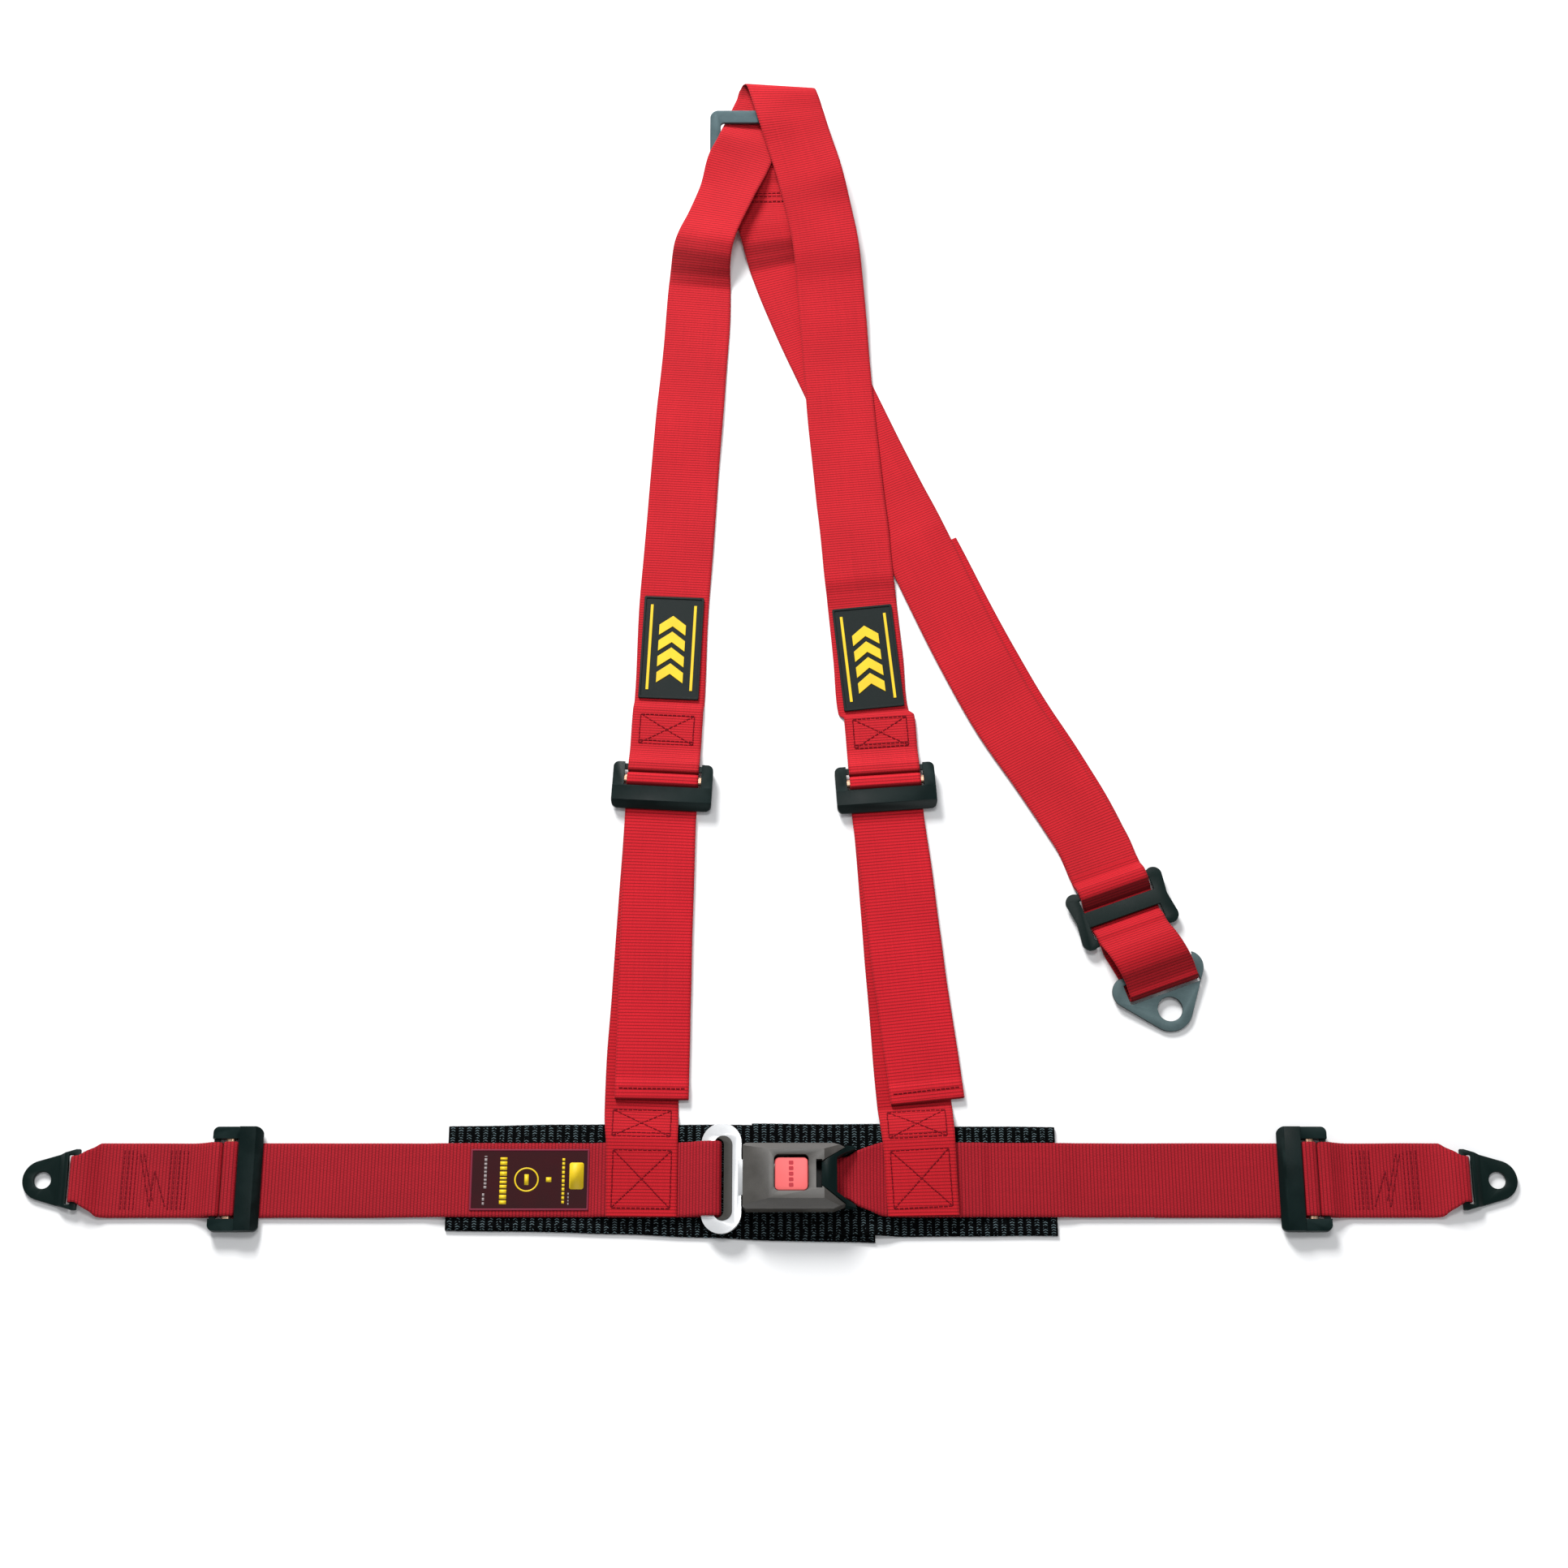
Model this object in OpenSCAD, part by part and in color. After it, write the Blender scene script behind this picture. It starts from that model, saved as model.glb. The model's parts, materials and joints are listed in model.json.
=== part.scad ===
// Racing harness: lap belt with push-button buckle, two shoulder straps that
// run through one steel ring, and a single rear strap down to a triangular
// anchor. It lies flat on a table at z = 0, laced up and buckled.
// X runs along the lap belt, Y from the lap belt up to the neck, Z is up.

/* [Webbing] */
// Width of every strap
web_w = 50; // [48:0.5:50.5]
// Thickness of one layer of webbing
web_t = 1.3; // [1.1:0.1:1.3]
// Clearance between two layers that slide on each other
ply_gap = 0.3; // [0.3:0.05:0.35]

/* [Lap belt] */
// Centre line of the lap belt
lap_y = -402; // [-404:0.5:-400]
// Distance of each lap bolt hole from the centre of the harness
lap_hole_x = 485; // [484:0.5:487]
// Distance of each lap adjuster from the centre of the harness
lap_adjuster_x = 355.5; // [354:0.5:357]
// Diameter of the lap bolt holes, for a 7/16 inch bolt
lap_hole_d = 11.5; // [11:0.1:13]
// Thickness of the lap anchor plates
plate_t = 3; // [2.5:0.1:3]

/* [Adjusters] */
// Width of an adjuster across the strap
adjuster_w = 70; // [69:0.5:72]
// Width of each side arm of an adjuster
adjuster_arm = 8; // [7.5:0.1:8.2]
// Height of the moulded end bar
end_bar_top = 9.7; // [9:0.1:10.5]
// Free travel of the lock bar in its grooves
lock_play = 1; // [0.8:0.1:1]

/* [Buckle] */
// Width of the buckle across the belt
buckle_w = 44; // [43:0.5:46]
// Top face of the buckle
buckle_top = 25.4; // [25:0.1:27]
// Side of the square release button
button_w = 22; // [20:0.5:22.5]

/* [Rear anchor] */
// Diameter of the rear anchor hole, for an eye bolt with a shoulder
rear_hole_d = 17; // [16:0.5:19]
// Thickness of the rear slide and of the triangular plate
rear_plate_t = 2.5; // [2:0.1:2.5]

/* [Back pads] */
// Thickness of the ribbed pad webbing
pad_t = 2.2; // [2:0.1:2.2]

/* [Hidden] */
$fn = 48;
web_red = "#d7282f";
lap_red = "#a52633";
plastic = "#1f2a2a";
steel = "#9aa4a6";
ring_grey = "#76868a";
buckle_grey = "#6d6a66";

// Height of the middle of the webbing in layer n above the table.
function ply(n) = web_t / 2 + n * (web_t + ply_gap);

// Where each adjuster stands and how it is turned: its own +Y points at the
// sewn loop, its -Y at the free tail.
shoulder_left = [-75.9, -124];
shoulder_left_turn = -3;
shoulder_right = [80.7, -125];
shoulder_right_turn = 4;
lap_left = [-lap_adjuster_x, lap_y];
lap_right = [lap_adjuster_x, lap_y];
rear_slide_at = [242.6, -213.3];
rear_turn = 20;

// Adjuster, along its own Y axis.
frame_z = 3.6;
frame_t = 2.5;
end_bar_out = -16.5;
end_bar_in = -1;
arm_end = 16.5;
fixed_bar = [12, 16];
lock_bar_y = 4.85;
lock_bar_z = 5.6;
lock_bar_r = 2;
lock_bar_flat = 1.2;
opening_w = adjuster_w - 2 * adjuster_arm;
strap_cut = -16.9;
bar_gap = 0.3;

// Where each lap strap ends at its adjuster.
lap_cut = lap_adjuster_x + strap_cut - 0.3;

// Anchor bar that carries the lap plate, seen from the lap adjuster.
plate_bar = lap_hole_x - 22.5 - lap_adjuster_x;
plate_bar_z = 4.3;
plate_bar_w = 4.4;
loop_r = 3 + web_t / 2;
plate_slot_w = 33;
plate_slot = 3;
plate_w = 41;
plate_web_w = 31;

// Buckle, along X.
buckle_x0 = -18;
buckle_x1 = 50;
buckle_bottom = 4.9;
split_z = 9.7;
wall = 2;
button_x = 14.2;
blade_z = 9.8;
blade_t = 2.5;
frame_half = 14.4;

// Tongue: a plate that droops away from the buckle, and its blade.
tongue_bend_x = -18.6;
tongue_droop = 9;
tongue_size = [27, 74];

// Ring behind the neck.
ring_at = [-10.6, 397];
ring_z = 12;
ring_tilt = 10;
ring_size = [73, 53];
ring_t = 3;

// Rear slide and rear anchor, along the rear strap. The rear strap ends and
// its tail starts at the cut, where the slide's own webbing does.
slide_cut = 33;
slide_z = 3.6;
slide_bar = 11;
slide_pitch = 17.5;
rear_bar = -49;
rear_bar_z = 4.3;
rear_loop_end = -59.4;
rear_hole_u = -77;
rear_droop = 3.9;
rear_side = 3.9;
rear_lean = 5.5;

// ---------------------------------------------------------------- webbing

function unit(v) = v / norm(v);
function side(row) = [cos(row[3]), sin(row[3]), 0];
function spot(row) = [row.x, row.y, row.z];
function width(row) = len(row) > 4 ? row[4] : web_w;
function heading(route, i) =
    unit(spot(route[min(i + 1, len(route) - 1)]) - spot(route[max(i - 1, 0)]));

// The four corners of the webbing at one row of its route.
function corners(route, i) =
    let (row = route[i], s = side(row) * width(row) / 2,
        n = unit(cross(side(row), heading(route, i))) * web_t / 2)
    [spot(row) - s - n, spot(row) + s - n, spot(row) + s + n, spot(row) - s + n];

// A strap along a route. Each row is x, y, z, the turn of the edge-to-edge
// line about Z and, where it isn't web_w, the width along that line.
module webbing(route) {
    last = 4 * (len(route) - 1);
    walls = [for (i = [0:len(route) - 2], k = [0:3]) let (a = 4 * i, j = (k + 1) % 4)
        each [[a + 4 + j, a + 4 + k, a + k], [a + j, a + 4 + j, a + k]]];
    polyhedron([for (i = [0:len(route) - 1]) each corners(route, i)],
        concat([[3, 2, 1, 0], [last, last + 1, last + 2, last + 3]], walls), convexity = 10);
}

// Points of an arc in the side view of a strap: distance along it, height.
function bend(centre, r, from, to, steps = 8) =
    [for (i = [0:steps]) let (a = from + (to - from) * i / steps)
        centre + r * [cos(a), sin(a)]];

// A side view placed in the harness: at a point, turned about Z.
function along(at, turn, view) = [for (p = view)
    [at.x - p.x * sin(turn), at.y + p.x * cos(turn), p.y, turn, len(p) > 2 ? p[2] : web_w]];

// Side view of the webbing round the lock bar: in along the table, over the
// bar and out again as the second layer under the end bar.
lock_wrap = concat([[strap_cut, ply(0)], [4.5, ply(0)], [7.2, 1.2], [8.7, 2.8]],
    bend([lock_bar_y + lock_bar_flat, lock_bar_z], lock_bar_r + bar_gap + web_t / 2, 0, 90, 5),
    bend([lock_bar_y - lock_bar_flat - lock_play, lock_bar_z],
        lock_bar_r + bar_gap + web_t / 2, 90, 180, 5),
    [[-0.7, 3.4], [-1.9, 2.5], [-3.6, ply(1)], [strap_cut, ply(1)]]);

// Side view of the sewn loop round the fixed bar of an adjuster.
sewn_loop = concat([[20.5, ply(0)], [17.5, 1.6], [15, 2.4]],
    bend([12.7, 4.85], 2.3, 270, 90, 8), [[16.5, 7.15], [21.5, 5], [27, 2.9], [31, ply(1)]]);

// ---------------------------------------------------------------- adjusters

module at_adjuster(at, turn) {
    translate([at.x, at.y, 0])
        rotate(turn)
            children();
}

module rounded_plate(w, y0, y1, r) {
    hull() {
        for (x = [r - w / 2, w / 2 - r], y = [y0 + r, y1 - r]) {
            translate([x, y])
                circle(r);
        }
    }
}

// Pressed steel frame: a flat ring whose far side is the fixed bar.
module adjuster_core(fit = 0) {
    inner = opening_w + 2.4 - 2 * fit;
    outer = inner + 8 + 4 * fit;
    end = -13.5 - fit;
    translate([0, 0, frame_z - fit])
        linear_extrude(frame_t + 2 * fit)
            difference() {
                translate([-outer / 2, end])
                    square([outer, fixed_bar[1] + fit - end]);
                translate([-inner / 2, fit - 3.5])
                    square([inner, fixed_bar[0] + 3.5 - 2 * fit]);
            }
}

module lock_bar_shape(r, play, length) {
    rotate([90, 0, 90])
        linear_extrude(length, center = true)
            union() {
                for (y = [-lock_bar_flat - play, lock_bar_flat]) {
                    translate([y, 0])
                        circle(r);
                }
                translate([-lock_bar_flat - play, -r])
                    square([2 * lock_bar_flat + play, 2 * r]);
            }
}

// Moulded cover: a thick end bar with a sloping outer face, and two arms.
module adjuster_cover() {
    color(plastic)
        difference() {
            intersection() {
                translate([0, 0, 2.9])
                    linear_extrude(8)
                        rounded_plate(adjuster_w, end_bar_out, arm_end, 4);
                union() {
                    rotate([90, 0, 90])
                        linear_extrude(adjuster_w, center = true)
                            polygon([[end_bar_out, 3.2], [-3.6, 3.2], [end_bar_in, 5.4],
                                [end_bar_in, end_bar_top - 0.5], [-1.6, end_bar_top],
                                [-12, end_bar_top], [end_bar_out, 4.6]]);
                    for (x = [-1, 1]) {
                        translate([x * (opening_w + adjuster_arm) / 2, -6, 2.9])
                            translate([-adjuster_arm / 2, 0, 0])
                                cube([adjuster_arm, arm_end + 6, 5.7]);
                    }
                }
            }
            adjuster_core(0.02);
            translate([0, lock_bar_y, lock_bar_z])
                lock_bar_shape(lock_bar_r + bar_gap, lock_play, opening_w + 2.4);
        }
}

module lock_bar(at, turn) {
    color(steel)
        at_adjuster(at, turn)
            translate([0, lock_bar_y, lock_bar_z])
                lock_bar_shape(lock_bar_r, 0, opening_w + 1.4);
}

module adjuster_frame(at, turn) {
    color(steel)
        at_adjuster(at, turn)
            adjuster_core();
}

module placed_cover(at, turn) {
    at_adjuster(at, turn)
        adjuster_cover();
}

module shoulder_adjuster_frame_left() { adjuster_frame(shoulder_left, shoulder_left_turn); }
module shoulder_adjuster_frame_right() { adjuster_frame(shoulder_right, shoulder_right_turn); }
module shoulder_adjuster_cover_left() { placed_cover(shoulder_left, shoulder_left_turn); }
module shoulder_adjuster_cover_right() { placed_cover(shoulder_right, shoulder_right_turn); }
module shoulder_lock_bar_left() { lock_bar(shoulder_left, shoulder_left_turn); }
module shoulder_lock_bar_right() { lock_bar(shoulder_right, shoulder_right_turn); }
module lap_adjuster_frame_left() { adjuster_frame(lap_left, 90); }
module lap_adjuster_frame_right() { adjuster_frame(lap_right, -90); }
module lap_adjuster_cover_left() { placed_cover(lap_left, 90); }
module lap_adjuster_cover_right() { placed_cover(lap_right, -90); }
module lap_lock_bar_left() { lock_bar(lap_left, 90); }
module lap_lock_bar_right() { lock_bar(lap_right, -90); }

// ---------------------------------------------------------------- shoulder straps

// One length of webbing from adjuster to adjuster. It goes up over the lower
// bar of the ring, under its upper bar, folds over and comes down in front.
shoulder_route = concat(
    along(shoulder_left, shoulder_left_turn, concat([[58, ply(0)]], sewn_loop, [[59, ply(1)]])),
    [[-72, -58, ply(0), -3], [-70, 12, ply(0), -3], [-64, 111, ply(0), -3],
        [-58, 202, ply(0), -3, 49], [-55.1, 248, 0.8, -4, 48.4], [-54.1, 280, 1, -5, 47],
        [-53.7, 288, 2.4, -6, 46], [-53.2, 297, 6.8, -8, 45], [-51.8, 306, 11.4, -11, 45],
        [-48.4, 318, 13, -14.5, 45], [-42.4, 333, 12.4, -17.5, 45], [-34.4, 353, 12.6, -19.5, 45],
        [-24, 380, 13.6, -18, 46], [-16.4, 396, 14.4, -15, 42.5], [-11, 413, 11.9, -12, 44],
        [-3, 432, 12.4, -8, 49],
        [2, 441, 14.2, -6, 53], [4.5, 444.5, 16.6, -5, 53], [6.5, 443.5, 19.2, -4, 53],
        [9, 437, 20.6, 0, 52], [14.5, 418, 20.4, 8, 51], [20.5, 397, 19.4, 14, 50],
        [28.5, 369, 17.4, 13], [35.8, 338, 14, 12], [41, 309, 10.5, 9],
        [44, 278, 7.2, 6], [46.4, 245, 4.6, 4], [48.7, 210, 2.9, 3.5],
        [51.8, 168, ply(1), 4], [57.6, 103, 2.7, 5], [60.8, 72, ply(2), 5],
        [63.4, 40, ply(2), 5], [65, 25, 1.7, 5], [65.8, 15.5, ply(0), 5], [69.6, -25, ply(0), 5]],
    [[73, -66, ply(0), 4.5]],
    along(shoulder_right, shoulder_right_turn,
        concat([[55, ply(1)]], [for (i = [len(sewn_loop) - 1:-1:0]) sewn_loop[i]],
            [[54, ply(0)]])));

module shoulder_strap() {
    color(web_red)
        webbing(shoulder_route);
}

module badge(at, turn) {
    size = [43, 79];
    rim = 1.6;
    color("#20282a")
        translate([at.x, at.y, web_t + 0.05])
            rotate(turn)
                difference() {
                    translate([-size.x / 2, -size.y / 2, 0])
                        cube([size.x, size.y, 1.6]);
                    translate([rim - size.x / 2, rim - size.y / 2, 1.2])
                        cube([size.x - 2 * rim, size.y - 2 * rim, 1]);
                }
}

module badge_left() { badge([-71.2, -17], -2.5); }
module badge_right() { badge([69.4, -24.5], 6); }

module shoulder_tail_left() {
    color(web_red)
        webbing(concat(along(shoulder_left, shoulder_left_turn, lock_wrap),
            [[-77.6, -180, ply(1), -2], [-78.9, -260, ply(1), -1],
                [-79.9, -347, ply(1), -1]]));
}

module shoulder_tail_right() {
    color(web_red)
        webbing(concat(along(shoulder_right, shoulder_right_turn, lock_wrap),
            [[86.5, -180, ply(1), 5], [95.5, -262, ply(1), 6], [106.1, -348.5, ply(1), 6]]));
}

// The sewn-on stubs climb from the table over the pad and the lap belt.
module shoulder_stub_left() {
    color(web_red)
        webbing(concat([[-85.3, -427, 6.3, -0.5, 47.5], [-85.6, -376, 6.3, -1, 48.5]],
            [[-85.9, -371, 5.6, -1.5, 49], [-86.4, -360, 2.2, -2, 50], [-86.6, -353, ply(0), -2]],
            [[-82.2, -250, ply(0), -3], [-77.9, -160, ply(0), -3]],
            along(shoulder_left, shoulder_left_turn, [[strap_cut - 0.3, ply(0)]])));
}

module shoulder_stub_right() {
    color(web_red)
        webbing(concat([[102, -427, 8.3, 1, 47.5], [99.5, -377, 8.3, 3, 48.5]],
            [[99, -370, 7.4, 3.5, 49], [98.2, -361, 4.9, 4, 49.5], [97.6, -354, 1.4, 4, 50],
                [97.3, -351.6, ply(0), 4.5]],
            [[89.8, -250, ply(0), 5], [83.6, -160, ply(0), 5]],
            along(shoulder_right, shoulder_right_turn, [[strap_cut - 0.3, ply(0)]])));
}

// ---------------------------------------------------------------- ring and rear strap

module harness_ring() {
    color(ring_grey)
        translate([ring_at.x, ring_at.y, ring_z])
            rotate([ring_tilt, 0, 0])
                translate([0, 0, -ring_t / 2])
                    linear_extrude(ring_t)
                        difference() {
                            rounded_plate(ring_size.x, -ring_size.y / 2, ring_size.y / 2, 6);
                            rounded_plate(ring_size.x - 16, 10 - ring_size.y / 2,
                                ring_size.y / 2 - 10, 3);
                        }
}

rear_route = [[-3.8, 344, 4.2, 0], [-5.6, 362, 4.9, 0], [-6.6, 372, 4.5, 0],
    [-7.2, 380, 5.6, 0], [-7.6, 384.8, 8.6, 0], [-7.4, 382, 11.6, 0], [-6.8, 374, 11.3, 0],
    [-6, 362, 9.4, 0], [-4, 344, 8.2, 2], [-1, 329, 7.8, 5], [3, 313, 5.4, 9],
    [9, 295, 1.6, 14],
    [20.4, 262, ply(0), 19], [49.4, 192, ply(0), 23], [86, 108, ply(0), 24],
    [98, 82, 1.5, 24.5], [104, 68, ply(1), 25], [136.4, -7, ply(1), 26],
    [166.5, -68, ply(1), 28], [194.4, -113, ply(1), 27], [213, -144, ply(1), 25]];

module rear_strap() {
    color(web_red)
        webbing(concat(rear_route,
            along(rear_slide_at, rear_turn, [[slide_cut + 14, ply(1)], [slide_cut + 0.3, ply(1)]])));
}

module rear_tail() {
    color(web_red)
        webbing(concat([[112, 60, ply(0), 25], [142, -6, ply(0), 26], [172, -66, ply(0), 28],
                [198, -111, ply(0), 27], [214.5, -142, ply(0), 25]],
            along(rear_slide_at, rear_turn, [[slide_cut + 14, ply(0)], [slide_cut, ply(0)]])));
}

// Side view of the two layers through the slide: over its outer bars and
// under the middle one. The sign turns the view end for end.
function slide_under(sign) = [for (p = [[29, ply(0)], [26.5, 1.1], [23.5, 3.9], [20.5, 7],
    [17.5, 7.2], [14.5, 6.95], [10.5, 3.7], [7, 1.1]]) [sign * p.x, p.y]];
function slide_over(sign) = [for (p = [[32.9, ply(1)], [28, 2.9], [24.3, 6.2], [20.8, 8.8],
    [17.5, 9.1], [15, 8.8], [10.8, 6.1], [6.6, 2.9]]) [sign * p.x, p.y]];
function reversed(list) = [for (i = [len(list) - 1:-1:0]) list[i]];

// The loop leans to the side between the slide and the rear anchor.
function leaning(route) = [for (row = route)
    let (u = (row.y - rear_slide_at.y) * cos(rear_turn) - (row.x - rear_slide_at.x) * sin(rear_turn),
        lean = rear_lean * max(0, min(1, (-20 - u) / 30)))
    [row.x + lean * cos(rear_turn), row.y + lean * sin(rear_turn), row.z, row[3], row[4]]];

module rear_loop() {
    color(web_red)
        webbing(leaning(along(rear_slide_at, rear_turn, concat(
            [[slide_cut, ply(0)]], slide_under(1), reversed(slide_under(-1)),
            [for (p = bend([rear_loop_end, rear_bar_z], loop_r, 270, 90, 8)) [p.x, p.y]],
            [[-52, 10.6], [-44, 13.6], [-36, 14.8], [-29, 13.8], [-23, 11.2]],
            [for (i = [4:7]) slide_over(-1)[i]], reversed(slide_over(1))))));
}

module rear_slide() {
    half_w = 28;
    color(plastic)
        at_adjuster(rear_slide_at, rear_turn)
            translate([0, 0, slide_z])
                linear_extrude(rear_plate_t)
                    difference() {
                        union() {
                            translate([-half_w, -slide_pitch - 2.5])
                                square([2 * half_w, 2 * slide_pitch + 5]);
                            for (x = [-1, 1], y = [-1, 1]) {
                                hull() {
                                    translate([x * 29.5, y * 15])
                                        circle(6);
                                    translate([x * 29, 0])
                                        circle(4.5);
                                }
                            }
                        }
                        for (y = [-1, 1]) {
                            translate([-26, y > 0 ? slide_bar / 2 : -slide_pitch + 2.5])
                                square([52, slide_pitch - 2.5 - slide_bar / 2]);
                        }
                    }
}

// Triangular plate: a bar for the webbing and one hole for the bolt.
module rear_anchor() {
    slot = [51.6, 14];
    bar_edge = 2.6;
    ear_gap = 1.5;
    color("#3c4a4b")
        at_adjuster(rear_slide_at, rear_turn)
            translate([0, rear_bar, rear_bar_z])
                rotate([rear_droop, 0, 0])
                    difference() {
                        translate([0, 0, -rear_plate_t / 2])
                            linear_extrude(rear_plate_t)
                                difference() {
                                    hull() {
                                        for (lobe = [[-22.5, -7.5], [22.5, -4.5]]) {
                                            translate([rear_side + lobe.x, lobe.y])
                                                circle(11);
                                        }
                                        translate([rear_side, rear_hole_u - rear_bar])
                                            circle(15.5);
                                    }
                                    translate([rear_lean - slot.x / 2, -bar_edge - slot.y])
                                        square(slot);
                                    translate([rear_lean - slot.x / 2 - ear_gap, bar_edge])
                                        square([slot.x + 2 * ear_gap, 9]);
                                }
                        translate([rear_side, rear_hole_u - rear_bar, -3])
                            cylinder(h = 6, d = rear_hole_d);
                    }
}

// ---------------------------------------------------------------- lap belt

// Side view of the sewn anchor strap, from the lap adjuster out to the plate.
anchor_strap_view = concat([[58.2, ply(0)]], sewn_loop, [[84, ply(1), 50], [91, 3.4, 49.5],
        [96, 5.6, 43], [101, 7.4, 37.5]],
    [for (p = bend([plate_bar, plate_bar_z], loop_r, 90, -90, 8)) [p.x, p.y, plate_web_w]],
    [[101, ply(0), 37], [96, ply(0), 42.5], [91, ply(0), 49], [84, ply(0), 50],
        [58.6, ply(0), 50]]);

module anchor_strap(at, turn) {
    color(lap_red)
        webbing(along(at, turn, anchor_strap_view));
}

module anchor_strap_left() { anchor_strap(lap_left, 90); }
module anchor_strap_right() { anchor_strap(lap_right, -90); }

// The free tail of each lap strap lies hidden under the strap.
module lap_tail(at, turn) {
    color(lap_red)
        webbing(along(at, turn, concat(reversed(lock_wrap), [[-100, ply(0)]])));
}

module lap_tail_left() { lap_tail(lap_left, 90); }
module lap_tail_right() { lap_tail(lap_right, -90); }

// Stepped steel plate: low bolt end, raised slotted end.
module lap_anchor(at, turn) {
    hole_u = lap_hole_x - lap_adjuster_x;
    inner = plate_bar - plate_bar_w / 2;
    rise = plate_bar_z - plate_t / 2;
    color(plastic)
        at_adjuster(at, turn)
            difference() {
                intersection() {
                    linear_extrude(plate_t + rise)
                        hull() {
                            translate([0, hole_u])
                                circle(13.5);
                            translate([-plate_w / 2, inner])
                                square([plate_w, 3]);
                        }
                    rotate([90, 0, 90])
                        linear_extrude(60, center = true)
                            polygon([[inner, rise], [inner + 9.5, rise], [inner + 13.5, 0],
                                [hole_u + 20, 0], [hole_u + 20, plate_t],
                                [inner + 14, plate_t], [inner + 10, rise + plate_t],
                                [inner, rise + plate_t]]);
                }
                translate([-plate_slot_w / 2, inner + plate_bar_w, rise - 1])
                    cube([plate_slot_w, plate_slot, plate_t + 2]);
                translate([0, hole_u, -1])
                    cylinder(h = plate_t + 2, d = lap_hole_d);
            }
}

module lap_anchor_left() { lap_anchor(lap_left, 90); }
module lap_anchor_right() { lap_anchor(lap_right, -90); }

// The side view of each lap strap, by distance from the middle of the harness.
module lap_strap_left() {
    view = concat([[lap_cut, ply(1)], [232, ply(1)], [220, 3.2], [120, 3.2],
        [112, 4.8], [62, 4.8], [54, 6.2], [46, 9.3], [42, 10.3], [38, 10.6],
        [35, 10.1], [33.2, 8.8], [32.6, 7.1], [33.2, 5.4], [35.5, 4.3], [40, 3.7], [60, 3.2],
        [108, 3.2]]);
    color(lap_red)
        webbing(along([0, lap_y], 90, view));
}

module lap_strap_right() {
    view = concat([[lap_cut, ply(1)], [208, ply(1)], [194, 3.2], [148, 3.2], [140, 4.8],
        [98, 4.8], [77, 6.3, 50], [67, 8.9, 44], [58, 10.5, 36.5], [50, 10.75, 28],
        [44.5, 10.6, 28], [42.6, 9.8, 28], [41.9, 8.5, 28], [42.3, 6.9, 28],
        [44.2, 6.1, 28], [50, 6, 28], [58, 6.2, 36], [67, 5.9, 43], [74, 5.3, 49],
        [80, 4.3, 50], [94, 3.2], [137, 3.2]]);
    color(lap_red)
        webbing(along([0, lap_y], -90, view));
}

module approval_label() {
    color("#3a1a1c")
        translate([-199.6, lap_y - 20.5, 3.2 + web_t / 2 + 0.05])
            cube([79, 41, 0.4]);
}

// Two lengths of wide ribbed webbing behind the belt. The right one lies on
// the left one where they meet.
module back_pad_left() {
    color("#101314")
        linear_extrude(pad_t)
            polygon([[-215.6, -364.5], [70, -364.5], [70, -444.6], [-20, -441.5],
                [-215.6, -434.5]]);
}

module back_pad_right() {
    color("#101314")
        intersection() {
            linear_extrude(8)
                polygon([[-12.4, -361.8], [191, -366], [191, -439.8], [-12.4, -439.8]]);
            translate([0, lap_y, 0])
                rotate([90, 0, 0])
                    linear_extrude(100, center = true)
                        polygon([[-12.4, pad_t + 0.3], [71, pad_t + 0.3], [88, 0], [191, 0],
                            [191, pad_t], [88.5, pad_t], [71.5, 2 * pad_t + 0.3],
                            [-12.4, 2 * pad_t + 0.3]]);
        }
}

// ---------------------------------------------------------------- tongue

module tongue_outline() {
    hull() {
        for (y = [-1, 1]) {
            translate([-tongue_size.x / 2, y * (tongue_size.y - tongue_size.x) / 2])
                circle(d = tongue_size.x);
        }
    }
}

module tongue_slot(grow) {
    hull() {
        for (y = [-1, 1]) {
            translate([1 - tongue_size.x / 2, y * 22])
                circle(6.4 + grow);
        }
    }
}

module drooped() {
    translate([tongue_bend_x, lap_y, blade_z])
        rotate([0, -tongue_droop, 0])
            children();
}

module tongue_plate() {
    blade = [32, 24];
    color("#e8e8e6")
        difference() {
            union() {
                drooped()
                    linear_extrude(blade_t)
                        difference() {
                            tongue_outline();
                            tongue_slot(0);
                        }
                translate([tongue_bend_x - 2.5, lap_y - blade.y / 2, blade_z])
                    cube([blade.x, blade.y, blade_t]);
            }
            translate([2, lap_y - 5.5, blade_z - 1])
                cube([6.5, 11, blade_t + 2]);
        }
}

// Plastic liner of the tongue's slot. It is open where the webbing folds.
module tongue_trim() {
    color(plastic)
        drooped()
            translate([0, 0, -0.4])
                linear_extrude(blade_t + 0.8)
                    difference() {
                        tongue_slot(-0.05);
                        translate([-4, 0])
                            tongue_slot(-1.6);
                        translate([-22, -27])
                            square([5.6, 54]);
                    }
}

// ---------------------------------------------------------------- buckle

module buckle_plan(inset) {
    half = buckle_w / 2 - inset;
    polygon([[buckle_x0 + inset, -half + 2], [buckle_x0 + 2 + inset, -half],
        [buckle_x1 - 8, -half], [buckle_x1, 3 - half], [34 - inset, -8 + inset],
        [34 - inset, 8 - inset], [buckle_x1, half - 3], [buckle_x1 - 8, half],
        [buckle_x0 + 2 + inset, half], [buckle_x0 + inset, half - 2]]);
}

module rivet_holes(d) {
    for (x = [-12, 32], y = [-17.4, 17.4]) {
        translate([x, lap_y + y, buckle_bottom - 1])
            cylinder(h = 14, d = d);
    }
}

// Room inside the buckle for the frame, the tongue and the webbing.
module buckle_room(z0, z1) {
    translate([buckle_x0 + wall, lap_y - frame_half - 0.2, z0])
        cube([70, 2 * frame_half + 0.4, z1 - z0]);
}

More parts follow.
